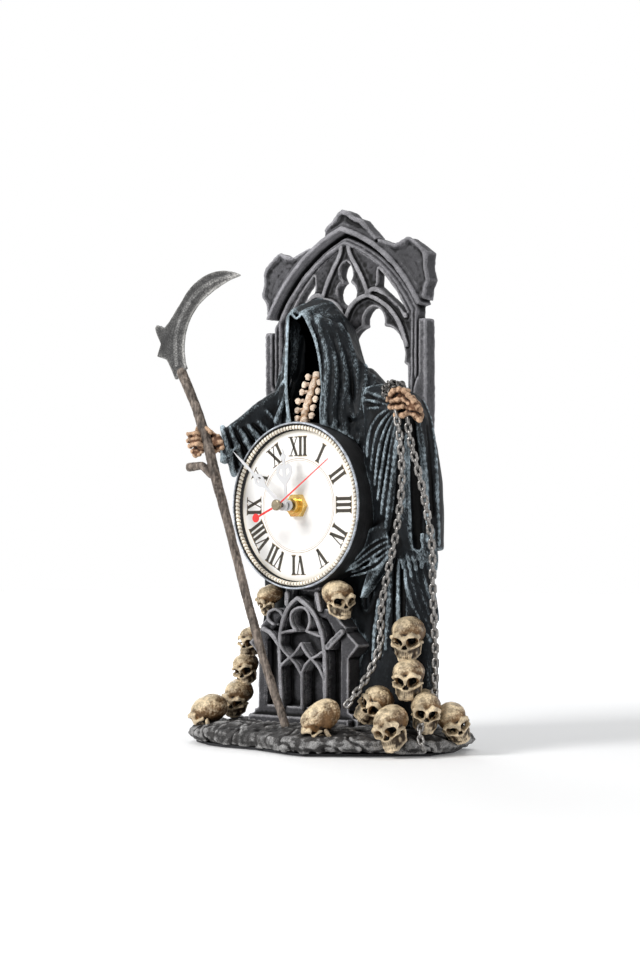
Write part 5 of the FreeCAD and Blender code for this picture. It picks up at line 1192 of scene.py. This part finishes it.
def build_plinth():
    clay = clay_of(("plinth",), 0.46, grow=1.2)
    y = clay.y
    across, up = clay.flat()
    right = [(2 * PLINTH_HALF * share, PLINTH_TOP * rise) for share, rise in PANEL_EDGE]
    left = [(-x, z) for x, z in reversed(right)]
    clay.trim(-np.maximum(outline_distance(across, up, right + left)[:, None, :] + 0.2, y - PANEL_BACK))
    for line, half in WINDOW_BARS:
        strip = line_distance(across, up, flat_line(line, WINDOW_FRONT))
        face = WINDOW_FRONT + 0.6 * np.clip(strip / half - 0.5, 0, 0.5)
        solid = np.maximum(face[:, None, :] - y, y - PANEL_BACK - 0.5)
        clay.fill(np.maximum((strip - half * 0.92)[:, None, :], solid))
    rim = np.minimum(line_distance(across, up, right), line_distance(across, up, left))
    groove = np.where(up > 20.0, ridge_line(rim, 0.0, 0.8, 0.9), 0.0)[:, None, :]
    clay.trim(np.where(y > PLINTH_FRONT - 0.2, PLINTH_FRONT + groove - y, -9.0))
    clay.roughen((6.0, 0.18, 23), (1.6, 0.12, 24))
    clay.trim(DRUM_R + 0.15 - np.hypot(clay.x, clay.z - DIAL_Z))
    cast("plinth_stone", clay, TRACERY, ("plinth", "plinth_tracery"), 0.9, 2.0)


build_plinth()


# Rock base: slabs and rubble with cracks

def build_rock():
    clay = clay_of(("rock_base",), 0.66, grow=1.6)
    crags = np.abs(clay.noise(6.5, 42))
    cracks = fade(np.abs(clay.noise(13.0, 45)), 0.09, -0.09)
    clay.field += 0.9 * clay.noise(11.0, 41) + 1.5 * (0.45 - crags) + 1.5 * cracks
    clay.roughen((3.2, 0.75, 43), (1.5, 0.35, 44))
    clay.trim(1.2 - clay.z)
    keep_in_box(clay)
    cast("rock_slab", clay, ROCK, ("rock_base",), 1.6, 1.5)


build_rock()


# Hood, robe and sleeves: folds and grooves laid over the model's shapes, each with its pixels in the
# photograph and its radii in millimetres from start to end

HOOD_RIM = [
    [(289, 314.8), (288.3, 333.9), (287.5, 353.1), (287.1, 372.2), (286.8, 388), (288.1, 402.8),
      (290.6, 421.9)],
    [(289, 315.2), (291.5, 313.6), (293.6, 316.2), (296, 319), (298.8, 317.8), (301, 314.6),
      (303.6, 315)],
    [(303.4, 314.8), (308.2, 324.4), (313, 334.9), (316.2, 345.4), (319.7, 362.6), (321.2, 377.9),
      (322, 391.3), (320.2, 406.6), (320.6, 420)],
]
HOOD_FOLDS = [
    ([(316.5, 320), (323.5, 338), (328.3, 358.6), (327.6, 381.7), (326.4, 400.9), (326.4, 423)],
      (0.6, 1.5, 2, 2)),
    ([(327, 332), (333, 351.1), (336.4, 368.3), (336, 387.5), (333.6, 406.6), (335, 424.9)],
      (0.5, 1.4, 2, 2.2)),
    ([(336, 333.9), (341.7, 352.8), (345.8, 372.7), (346.2, 392), (343.4, 410), (346.4, 431.6)],
      (0.7, 1.6, 2.3, 2.4)),
    ([(346.4, 333.9), (352.1, 352.8), (357.9, 374.9), (359.4, 395.8), (356.6, 413.3)], (0.7, 1.5, 2, 2)),
]
HOOD_GROOVES = [
    ([(312, 322), (319, 338), (323.6, 360.1), (324.4, 380.2), (323.6, 418.2)], (0.3, 0.8, 1.2, 1.2)),
    ([(325, 340), (331.8, 362), (332, 385), (329.8, 405), (330.6, 424)], (0.3, 1, 1.4, 1.6)),
    ([(333.5, 338), (339.4, 358), (341.4, 380), (339.2, 402), (339.6, 424)], (0.3, 1, 1.6, 1.7)),
    ([(343.5, 345), (350.4, 366), (352.6, 385), (351, 402), (349.6, 420)], (0.4, 1.2, 1.8, 1.6)),
]
TORSO_FOLDS = [
    ([(364.2, 366.5), (365.4, 383.7), (364.5, 402.8), (361.7, 413.4), (355.5, 417.2), (350.6, 409.6),
      (348.4, 396.3)], (1.4, 2.2, 2.2, 2, 1.2)),
    ([(372, 376), (374.5, 388), (372.2, 400), (366, 412), (359, 428)], (1.2, 1.8, 1.8, 1.5)),
    ([(380, 386), (380, 398.1), (371.8, 413.5), (364.7, 428.8), (359.9, 441.3)], (1.2, 1.8, 1.8, 1.6)),
    ([(383.8, 406.6), (374.2, 415.3), (369.2, 427.7), (366.4, 441.1), (366, 460)], (1.2, 1.7, 1.8, 1.8)),
    ([(285.2, 380.8), (278.6, 393.2), (270.9, 406.6), (263.3, 419.5)], (0.8, 1.5, 1.8)),
    ([(287.5, 389.5), (282.4, 406.6), (276.7, 421)], (0.7, 1.3, 1.6)),
]
TORSO_GROOVES = [
    ([(357, 385), (358.4, 396), (356, 408)], (1, 1.9, 1.5)),
    ([(368.6, 384), (369.4, 396), (366, 406), (360, 421)], (0.6, 1.2, 1.2)),
    ([(376.5, 392), (376, 402), (368.4, 417), (362, 434)], (0.6, 1.2, 1.4)),
    ([(286.5, 392), (280, 406), (273.6, 417)], (0.6, 1.1, 1.3)),
    ([(289, 398), (286, 412), (284, 424)], (0.8, 1.3, 1.4)),
]
RIGHT_SLEEVE_FOLDS = [
    ([(222.5, 427), (225.4, 439.1), (228.3, 452.5), (231.2, 465.9), (234, 474.5)], (1, 1.3, 1.3)),
    ([(229.7, 427.6), (234.4, 440.1), (239.1, 453.4), (241.3, 463)], (0.9, 1.6, 1.4)),
    ([(238.2, 426.9), (244.9, 438.1), (250, 448)], (0.9, 1.6, 1.2)),
    ([(247.5, 424.9), (255.2, 433.6), (260.9, 441)], (0.9, 1.5, 1.2)),
    ([(257.5, 420.9), (264.2, 427.6), (270.9, 433.3)], (0.9, 1.4, 1.2)),
    ([(266, 411), (273, 418), (280, 425)], (0.9, 1.3, 1.2)),
]
RIGHT_SLEEVE_GROOVES = [
    ([(226.6, 429.5), (230.9, 442.1), (234.6, 455.4), (237.3, 466)], (0.4, 1.1, 1.2)),
    ([(234.2, 428.6), (240, 440.1), (245.1, 452.4)], (0.4, 1.1, 1.2)),
    ([(243.2, 427.7), (250.9, 437.1), (256.6, 445.6)], (0.4, 1.1, 1.2)),
    ([(252.8, 424), (260, 431), (266, 437)], (0.4, 1, 1)),
]


def fan(first, last, count, radii):
    """Folds spread evenly between two lines of pixels."""
    return [([(ax + (bx - ax) * step / (count - 1), ay + (by - ay) * step / (count - 1))
              for (ax, ay), (bx, by) in zip(first, last)], radii) for step in range(count)]


LEFT_SLEEVE_FOLDS = [
    ([(366, 391.5), (377, 395.5), (389, 401)], (0.3, 1.1, 0.9)),
    ([(366, 399.5), (377, 402), (389, 405.5)], (0.3, 1.1, 0.9)),
    ([(367, 409), (377, 408), (389, 408.5)], (0.3, 1.1, 0.8)),
    ([(422, 402), (429.6, 420), (433.4, 448.7), (435.4, 480.5), (436.8, 512), (437.6, 544)],
      (1.2, 1.7, 1.8, 1.3)),
    ([(419, 420), (422.6, 445), (425.2, 475), (427.6, 510), (429, 540)], (0.9, 1.4, 1.5, 1.2)),
] + fan([(389.5, 409.5), (380, 414.6), (372.6, 426), (369.6, 440), (369, 456)],
        [(399.5, 424), (397, 444), (394.4, 466), (391, 496), (386, 528)], 6, (0.7, 1.3, 1.5, 1.5, 1.1))
LEFT_SLEEVE_FOLDS += fan([(388, 537), (378, 539.5), (368, 546), (357, 557), (346, 565.5)],
                         [(388, 556), (380, 566), (369, 572), (357, 575), (344, 577.5)], 5,
                         (0.7, 0.8, 0.7, 0.5))
LEFT_SLEEVE_GROOVES = [
    ([(403, 430), (400.6, 455), (399.4, 480), (397, 510), (392, 535)], (0.8, 1.8, 2.4, 2)),
    ([(412.5, 420), (414.5, 450), (416, 480), (417, 510), (417.5, 545)], (1, 2.8, 3.2, 2.8)),
    ([(427, 425), (429.4, 450), (430.8, 480), (432.6, 515)], (0.5, 1.1, 1.2)),
    ([(361, 394.5), (374, 398), (387, 403.4)], (0.8, 1, 0.5)),
    ([(360, 403.2), (374, 404.6), (387, 407)], (0.8, 1, 0.5)),
] + fan([(390.5, 411.8), (382, 418.8), (376.6, 432), (373.8, 448), (373, 468)],
        [(398, 423), (394.4, 441), (391.4, 462), (388, 486), (383.6, 512)], 5, (0.5, 0.9, 1.1, 1))
LEFT_SLEEVE_GROOVES += fan([(386, 539), (378, 542), (368, 549), (357, 560)],
                           [(386, 552), (380, 563), (369, 569), (357, 572)], 4, (0.6, 0.8, 0.6))
SKIRT_FOLDS = [
    ([(400, 640), (398.4, 610), (398.6, 580), (400, 545)], (0.8, 1.2, 1.1)),
    ([(387, 650), (389, 620), (391, 590), (392, 560)], (1.1, 1.7, 1.4)),
    ([(374, 660), (376, 630), (380, 600)], (1.2, 1.7, 1.3)),
    ([(380.5, 570.7), (375.9, 577.6), (367.9, 583.3), (363.6, 588.8), (363.3, 604.3), (366.7, 612.7),
      (371.3, 606.3), (375.9, 592.2)], (1.1, 1.2, 1.1)),
    ([(372, 584), (369, 597), (368, 608)], (0.8, 1, 0.8)),
] + fan([(405, 558), (405.8, 577), (409.5, 594), (415, 610), (422, 625), (429.5, 641)],
        [(425, 558), (427.6, 571), (430.6, 583), (433.2, 595), (435.4, 607), (437, 620)], 5,
        (0.9, 1.5, 1.7, 1.5, 1.1))
SKIRT_GROOVES = [
    ([(402.6, 640), (402.6, 610), (402.4, 585), (402.4, 550)], (1.2, 2.2, 1.6)),
    ([(394.4, 650), (394.6, 620), (395.4, 590), (396.2, 560)], (0.9, 1.8, 1.4)),
    ([(380.5, 660), (382.6, 630), (385.4, 600)], (0.9, 1.8, 1.4)),
]

# Strips of the left sleeve's frayed hem
RAGGED_HEM = [
    [(384, 528), (384, 538), (383, 548), (381, 558)], [(391, 530), (392, 543), (393, 556), (394, 570)],
    [(398, 530), (400, 547), (402, 564), (404, 582)], [(404, 533), (407, 551), (410, 570), (413, 590)],
    [(410, 535), (413, 554), (417, 573), (421, 595)], [(416, 535), (419, 552), (423, 570), (427, 590)],
    [(422, 535), (425, 550), (429, 566), (432, 582)], [(428, 535), (431, 548), (433, 562), (435, 576)],
    [(433, 530), (435, 545), (436, 560), (437, 572)],
]

# The mantle that hangs from the hood: fixed planes for its main drapes, as pixels, plane and radii
MANTLE_DRAPES = [
    ([(304.5, 317), (310.4, 328), (315, 338), (318.8, 352), (322, 368), (323.8, 385), (323.8, 403),
      (323.8, 428)], -8.3, (1, 1.8, 2.2, 2.4)),
    ([(318, 318), (326, 338), (330.6, 358.6), (331, 381.7), (330, 400.9), (330.6, 430)],
      -5.8, (2, 2.8, 3.2, 3.4)),
    ([(328, 322), (336, 344), (340.2, 366), (340.6, 388), (339, 408), (341, 434)],
      -2.6, (2, 3.2, 3.8, 4)),
    ([(338, 326), (346, 348), (351, 372), (352.6, 394), (352, 415), (354, 440)], 1.5, (2, 3.6, 4.4, 4.6)),
    ([(350, 350), (357, 366), (364, 384), (366, 404), (366, 440)], 5, (1.6, 3, 4.4, 5)),
    ([(289.2, 318), (288, 345), (287, 380), (288.6, 404), (290, 426)], -9.6, (0.8, 1.1, 1.4, 1.6)),
    ([(287, 345), (284.6, 384), (283, 404), (280, 428)], -6.6, (1.2, 2, 2.6, 2.8)),
    ([(284.6, 372), (278, 398), (270, 424)], -3, (1.6, 2.8, 3.2)),
]
OPENING_PLANE = -10.5
SEAM_HEIGHT = 131.0
HEM_PLANES = (-3.5, -1.5, 0.6, 2.4)


def draw(clay, ridges, grooves, sink, blend):
    """Lay all grooves and then all ridges, found on the clay as it stood before; the ridges sink a little."""
    before = copy.copy(clay)
    before.field = clay.field.copy()
    away = np.array((-math.sin(CAMERA_TURN), math.cos(CAMERA_TURN), 0.0)) * sink
    for pixels, radii in grooves:
        clay.stroke(eased([before.seen(*pixel) for pixel in pixels]), radii, blend * 0.6, True)
    for pixels, radii in ridges:
        clay.stroke(np.array(eased([before.seen(*pixel) for pixel in pixels])) + away, radii, blend)


def hood_outline():
    """The opening between the hood's rims, down to the drum, as (x, z) on the opening's plane."""
    line = HOOD_RIM[0][::-1] + HOOD_RIM[1][1:] + HOOD_RIM[2][1:] + [(320.6, 432), (291, 432)]
    return [spot(px, py, OPENING_PLANE)[::2] for px, py in line]


def hood_opening(clay):
    """The dark hollow behind the opening; it narrows towards the back."""
    shape = outline_distance(*clay.flat(), hood_outline())[:, None, :]
    shape = shape + np.clip((clay.y + 9.0) * 0.10, -0.5, 1.5)
    return np.maximum(shape, clay.y - 5.5).astype(np.float32)


def seam_fade(points):
    """No light edge where the skirt meets the mantle."""
    return fade(np.abs(points[:, 2] - SEAM_HEIGHT), 1.2, 1.6)


def clear_drum(clay):
    """Leave room for the drum that the robe stands behind."""
    clay.trim(-np.maximum(np.hypot(clay.x, clay.z - DIAL_Z) - DRUM_R - 0.3, clay.y + 1.2))


def build_mantle():
    clay = clay_of(("robe", "hood"), 0.55, low=(-50.0, -17.0, 129.0), high=(62.0, 33.5, 251.0))
    for pixels, plane, radii in MANTLE_DRAPES:
        clay.stroke(eased_line(pixels, plane), radii, 2.2)
    clay.soften(7)
    draw(clay, HOOD_FOLDS + TORSO_FOLDS, HOOD_GROOVES + TORSO_GROOVES, 1.0, 1.6)
    clay.roughen(((5.0, 5.0, 16.0), 0.28, 61), ((1.3, 1.3, 4.0), 0.13, 62))
    clay.field = -smooth_min(-clay.field, hood_opening(clay), 0.4)
    for line in HOOD_RIM:
        clay.stroke(eased_line(line, OPENING_PLANE + 0.4), 0.62, 0.5)
    clear_drum(clay)
    clay.trim(SEAM_HEIGHT - 0.6 - clay.z)
    clay.roughen((0.9, 0.07, 63))
    points, faces, ridge = clay.surface(1.5, 2.1)
    x, y, z = points.T
    rim = np.min([line_distance(x, z, flat_line(line, OPENING_PLANE)) for line in HOOD_RIM], 0)
    bright = fade(rim, 0.45, -0.22) * fade(y, -10.3, -0.3)
    inside = (outline_distance(x, z, hood_outline()) < 0.4) & (y < 8.0)
    shade = np.where(inside, 0.995 * fade(y, -11.2, 0.5), 0.0) * (1 - bright)
    ridge[:, 0] = np.maximum(ridge[:, 0] * seam_fade(points), bright)
    ridge[:, 1] *= 1 - bright
    piece = add_piece("mantle", points, faces, CLOTH, ("hood", "robe"), ridge=ridge)
    set_layer(piece.data, "shade", shade)


def build_skirt():
    clay = clay_of(("robe",), 0.7, low=(-51.0, -14.0, 8.0), high=(82.0, 33.5, 134.0))
    clay.soften(4)
    draw(clay, SKIRT_FOLDS, SKIRT_GROOVES, 0.5, 0.7)
    clay.roughen(((6.0, 9.0, 34.0), 0.5, 71), ((2.2, 3.0, 11.0), 0.28, 72))
    clear_drum(clay)
    clay.trim(np.maximum(9.0 - clay.z, clay.z - SEAM_HEIGHT - 0.6))
    keep_in_box(clay)
    points, faces, ridge = clay.surface(1.5, 2.2)
    ridge[:, 0] *= seam_fade(points)
    add_piece("robe_skirt", points, faces, CLOTH, ("robe",), ridge=ridge)


def build_sleeves():
    clay = clay_of(("right_sleeve",), 0.55)
    clay.soften(6)
    draw(clay, RIGHT_SLEEVE_FOLDS, RIGHT_SLEEVE_GROOVES, 0.6, 1.2)
    clay.roughen(((5.0, 5.0, 12.0), 0.25, 81), ((1.4, 1.4, 3.6), 0.14, 82))
    cast("right_sleeve_cloth", clay, CLOTH, ("right_sleeve",), 1.5, 2.1)
    clay = clay_of(("left_sleeve",), 0.62, low=(25.0, -14.0, 82.0), high=(84.5, 22.5, 200.0))
    for pixels in RAGGED_HEM:
        places = [spot(px, py, plane) for (px, py), plane in zip(pixels, HEM_PLANES)]
        clay.stroke(eased(places, 1), (1.9, 0.7), 1.8)
    clay.soften(6)
    draw(clay, LEFT_SLEEVE_FOLDS, LEFT_SLEEVE_GROOVES, 0.35, 0.7)
    clay.roughen(((4.0, 5.0, 26.0), 0.4, 83), ((1.4, 1.6, 6.0), 0.16, 84))
    keep_in_box(clay)
    cast("left_sleeve_cloth", clay, CLOTH, ("left_sleeve",), 1.5, 2.1)


build_mantle()
build_skirt()
build_sleeves()


# Bones: hands and breastbone

BREASTBONE_PIXELS = [(317, 375), (313.2, 389.6), (309.4, 402), (306.2, 414), (305, 423)]
RIB_ENDS = [(308.6, 377.5), (304.9, 385), (302.4, 392.9), (298.9, 401.6), (297.6, 410.7), (297.4, 418.7),
            (320.2, 382.5), (318.4, 391.5), (316, 399.5), (313.6, 407.8), (312.4, 416)]
# Finger bones of the two hands: pixels from knuckle to tip
LEFT_FINGERS = [
    [(413.8, 401.5), (408, 395.4), (404, 390.8), (399, 389.4), (393.6, 391), (390.8, 394.6)],
    [(418, 407.7), (409.7, 403.2), (404.2, 399.4), (398.1, 399.6), (391.8, 401), (388.2, 399.2)],
    [(421.3, 409.8), (411.4, 408.2), (403.6, 406.2), (397, 407.8), (390.4, 406.9)],
    [(419.7, 419.6), (415, 414.6), (407.2, 412.6), (402.2, 415.4), (396, 415)],
]
LEFT_PALM = [(411, 400), (416, 407), (418, 415)]
RIGHT_FINGERS = [
    [(193.8, 435.4), (188.8, 440.6), (194, 440), (203, 437.6)],
    [(196, 441), (189.8, 446.2), (196, 445.4), (203.4, 442.4)],
    [(198, 445.8), (192.8, 451.2), (198, 450), (203.2, 447)],
    [(199, 450.6), (195, 455.4), (199.4, 454.4), (202, 451.4)],
    [(210.5, 431.5), (204, 426.6), (199, 423), (197.6, 430), (197, 434.5)],
]
RIGHT_PALM = [
    [(205, 427.5), (211, 433), (218, 437)], [(210, 437), (213.5, 445), (221, 443)],
    [(212, 444), (214.5, 451.5), (222, 447.5)],
]
CURL_TURNS = (0.4, 1.5, 2.7, 3.9, 5.1)
RIGHT_WRIST = ((215, 442, 1), (221, 443, 3), (224.5, 443.5, 6))


def knuckled(clay, line, plane, radius):
    """A finger: slim bones with a swelling at each joint."""
    places = eased_line(line, plane, 0)
    clay.stroke(places, radius * 0.84, 0.35)
    for place in places:
        clay.put(ball(place, radius * 1.08), 0.45)


def build_breastbone():
    clay = Clay((-20, -13, 164), (14, 4, 216), 0.4)
    clay.stroke(eased_line(BREASTBONE_PIXELS, -5.0, 0), (2.3, 3.0), 0.5)
    for px, py in RIB_ENDS:
        middle = 309.5 if py > 395 else 313.5
        end = np.array(spot(px, py, -5.8))
        clay.put(rod(end, spot(px + (middle - px) * 0.4, py - 1.0, -5.0), 1.1, 0.9), 0.2)
        curl = [end + (1.25 * math.cos(turn), -0.5, 1.15 * math.sin(turn)) for turn in CURL_TURNS]
        clay.stroke(curl, (1.0, 0.7), 0.1)
    for (ax, ay), (bx, by) in zip(BREASTBONE_PIXELS[:-1], BREASTBONE_PIXELS[1:]):
        for share in (0.2, 0.7):
            px, py = ax + (bx - ax) * share, ay + (by - ay) * share
            clay.put(rod(spot(px - 2.2, py + 0.3, -8.2), spot(px + 2.2, py - 0.3, -8.2), 0.35), 0.3, True)
    clay.roughen((2.0, 0.3, 91), (0.9, 0.16, 92))
    cast("ribs", clay, BONE, ("breastbone",), 0.9, 2.4)


def build_left_hand():
    clay = clay_of(("left_hand",), 0.36, grow=12.0)
    clay.soften(3)
    clay.stroke(eased_line(LEFT_PALM, -8.0, 0), (2.8, 3.2), 0.8)
    for index, line in enumerate(LEFT_FINGERS):
        knuckled(clay, line, -13.2 + 0.4 * index, 1.55)
    clay.roughen((1.6, 0.22, 95), (0.9, 0.1, 96))
    cast("left_hand_bones", clay, HAND_BONE, ("left_hand",), 0.9, 1.8)


def build_right_hand():
    clay = clay_of(("right_hand",), 0.36, grow=9.0)
    depths = mesh_places(nodes["right_hand"].data)[:, 1]
    middle = (depths.min() + depths.max()) / 2
    clay.soften(3)
    for line in RIGHT_FINGERS:
        knuckled(clay, line, middle - 2.6, 1.3)
    for line in RIGHT_PALM:
        knuckled(clay, line, middle + 1.5, 1.6)
    clay.stroke([spot(px, py, middle + back) for px, py, back in RIGHT_WRIST], (3.0, 3.3, 3.2), 1.0)
    clay.roughen((2.2, 0.3, 93), (1.0, 0.15, 94))
    cast("right_hand_bones", clay, HAND_BONE, ("right_hand",), 0.9, 1.8)


build_breastbone()
build_left_hand()
build_right_hand()


# Scythe: knotted pole and a ground blade, its ridge and inner edge as (x, z) in millimetres

BLADE_RIDGE = [(-73.6, 212.5), (-75.2, 227), (-71.3, 237.8), (-64.2, 247), (-54.3, 254.2), (-42, 258),
               (-27, 258.6)]
BLADE_INNER = [(-67.3, 213), (-67.7, 226.5), (-62.3, 239.5), (-46.9, 251.6), (-31.1, 256.8), (-24.5, 258.6)]
BLADE_Y = -33.0
BLADE_PIECES = ("scythe_blade", "blade_rivet")
BLADE_EYE = (-84.0, 225.0)
BLADE_EYE_R = 7.5


def blade_distances(x, z):
    """Distances to the blade's ridge and to its inner edge."""
    return line_distance(x, z, eased(BLADE_RIDGE)), line_distance(x, z, eased(BLADE_INNER))


def build_scythe():
    clay = clay_of(("scythe_pole",), 0.45)
    clay.soften(3)
    clay.field -= 0.45
    clay.roughen(((1.6, 1.6, 14.0), 0.12, 101), ((6.0, 6.0, 22.0), 0.18, 102), (0.9, 0.12, 103))
    cast("pole_wood", clay, WOOD, ("scythe_pole",), 1.0, 1.9)
    clay = clay_of(BLADE_PIECES, 0.36)
    across, up = clay.flat()
    ridge, inner = blade_distances(across, up)
    thick = 0.5 + 0.7 * np.clip(inner / 6.5, 0.0, 1.0) + ridge_line(ridge, 0.0, 0.8, 0.75)
    eye = np.hypot(across - BLADE_EYE[0], up - BLADE_EYE[1])
    thick = np.where(eye < BLADE_EYE_R, np.maximum(thick, 1.5), thick)
    clay.trim((np.abs(clay.y - BLADE_Y) - thick[:, None, :]).astype(np.float32) * FRONT_SLOPE)
    clay.soften(1)
    clay.roughen((3.0, 0.05, 105), (1.0, 0.03, 106))
    piece = cast("blade_metal", clay, PEWTER, BLADE_PIECES, 1.0, 1.3)
    x, _, z = mesh_places(piece.data).T
    ridge, inner = blade_distances(x, z)
    # Painted shade: a darker band between the blade's ridge and its inner edge
    set_layer(piece.data, "shade", 0.62 * fade(ridge, 0.9, 0.8) * fade(inner, 1.2, 1.2))


build_scythe()


# Chains: heavy oval links that hang from the left hand to the rock

CHAIN_PATHS = {
    "front_chain": [(66.9, -13, 180.8), (68.8, -13.4, 176.3), (71.8, -14.4, 164.3), (73.6, -14.9, 141.2),
      (68.6, -14.4, 114), (63.4, -13.4, 99.1), (58.3, -13, 81.7), (58, -14.4, 65.7), (59.9, -15.8, 58.5),
      (57.5, -19.2, 47.3), (55.9, -25.4, 37.8), (53.2, -32.2, 29.4), (50.2, -36, 23.4)],
    "side_chain": [(73.6, -10.6, 177.4), (73, -10.1, 174.3), (75.8, -10.9, 163.1), (80.6, -8.6, 144.4),
      (83.6, -6.1, 124.5), (84.8, -3.8, 109.1), (83.4, -2, 88.9), (83.7, -0.9, 68.5), (84, 0, 53.5),
      (85, -1.9, 33.6), (85.9, -5.3, 25.9), (86.3, -9.1, 21.9), (86.6, -13.4, 18.4), (87.4, -17.8, 15.4),
      (88.9, -20.6, 12), (91.2, -21.6, 7.5), (93.5, -21.6, 3.5)],
}
FIST_BUNCH = [(386, 396), (385.6, 392), (387.4, 388), (390.4, 385), (394.2, 383.8), (398, 384.8),
              (400.6, 387), (391, 389), (395, 388)]
LINK_LENGTH = 6.4
LINK_WIDTH = 4.3
LINK_WIRE = 0.8
LINK_PITCH = LINK_LENGTH - 3.1 * LINK_WIRE
BUNCH_PLANES = (-8.5, -10.5, -12.5)


def link_shape():
    """One oval link about the origin, long along X and flat in XY."""
    around, about = 28, 8
    turn = (2 * math.pi / around * np.arange(around))[:, None]
    roll = 2 * math.pi / about * np.arange(about)
    reach = LINK_WIDTH / 2 - LINK_WIRE + LINK_WIRE * np.cos(roll)
    straight = np.where(np.cos(turn) > 0, 0.5, -0.5) * (LINK_LENGTH - LINK_WIDTH)
    high = LINK_WIRE * np.sin(roll) + 0 * turn
    points = np.stack([straight + reach * np.cos(turn), reach * np.sin(turn), high], 2)
    return points.reshape(-1, 3), grid_faces(around, about)


def place_along(line, reach, distance):
    """The place at a distance along a line whose points lie at those reaches."""
    return np.array([np.interp(distance, reach, values) for values in line.T])


def build_chains():
    points, faces = link_shape()
    source = np.random.default_rng(7)
    for name, path in CHAIN_PATHS.items():
        line = np.array(eased(path))
        reach = np.concatenate([[0], np.cumsum(np.linalg.norm(np.diff(line, axis=0), axis=1))])
        parts = []
        for index in range(int(reach[-1] / LINK_PITCH)):
            middle = place_along(line, reach, (index + 0.5) * LINK_PITCH)
            ahead = place_along(line, reach, (index + 1.0) * LINK_PITCH)
            along = (ahead - middle) / np.linalg.norm(ahead - middle)
            side = np.cross(along, (math.sin(CAMERA_TURN), -math.cos(CAMERA_TURN), 0.0))
            side /= np.linalg.norm(side)
            roll = math.radians((12 if index % 2 else 78) + source.uniform(-9, 9))
            across = side * math.cos(roll) + np.cross(along, side) * math.sin(roll)
            parts.append((points @ np.stack([along, across, np.cross(along, across)]) + middle, faces))
        places, corners = joined(parts)
        add_piece(name + "_links", places, np.array(corners), CHAIN, (name,))


def build_bunch():
    """The end of the chain, bunched over the fist."""
    points, faces = link_shape()
    source = np.random.default_rng(19)
    parts = []
    for plane in BUNCH_PLANES:
        for px, py in FIST_BUNCH:
            spin, _ = np.linalg.qr(source.normal(0.0, 1.0, (3, 3)))
            middle = np.array(spot(px, py, plane)) + source.uniform(-0.6, 0.6, 3)
            parts.append((points @ spin * np.sign(np.linalg.det(spin)) * 0.9 + middle, faces))
    places, corners = joined(parts)
    # Painted shade: the bunched links take the darker copy of the chain metal
    add_piece("fist_links", places, np.array(corners), SHADED_CHAIN)


build_chains()
build_bunch()


# Second hand: a fine red needle, its counterweight disc and the pale cap that holds it

SECOND_AT = math.radians(90 - 56)
TAIL_BEND = math.radians(11)
NEEDLE_Y = -30.8
DISC_AT = 17.5
DISC_R = 2.4
CAP_PROFILE = ((0.0, -33.0), (1.9, -33.05), (2.1, -33.1), (2.6, -33.1), (2.95, -32.7), (3.0, -31.2),
               (2.6, -30.7), (2.2, -30.5), (2.2, -29.6), (0.0, -29.6))


def bar_towards(turn, outline, half):
    """A slab over (reach, side) pairs, measured from the dial's middle in the direction of turn."""
    cosine, sine = math.cos(turn), math.sin(turn)
    placed = [(cosine * reach - sine * side, DIAL_Z + sine * reach + cosine * side)
              for reach, side in outline]
    return slab(placed, NEEDLE_Y - half, NEEDLE_Y + half)


def build_second_hand():
    behind = SECOND_AT - TAIL_BEND + math.pi
    rim = [(DISC_AT + DISC_R * math.cos(turn), DISC_R * math.sin(turn))
           for turn in np.linspace(0, 2 * math.pi, 40, endpoint=False) - behind]
    needle = bar_towards(SECOND_AT, [(-1, -0.45), (43, -0.22), (43, 0.22), (-1, 0.45)], 0.12)
    arm = bar_towards(behind, [(0, 0.55), (0, -0.55), (17, -0.55), (17, 0.55)], 0.14)
    points, faces = joined([needle, arm, bar_towards(behind, rim, 0.15)])
    add_piece("second_needle", points, faces, HAND_RED, ("second_hand",), False,
              body="second_group")
    points, faces, _ = lathe([(radius, y, 0) for radius, y in CAP_PROFILE], 48, False)
    add_piece("second_cap", points, faces, HAND_CAP, body="second_group")


build_second_hand()
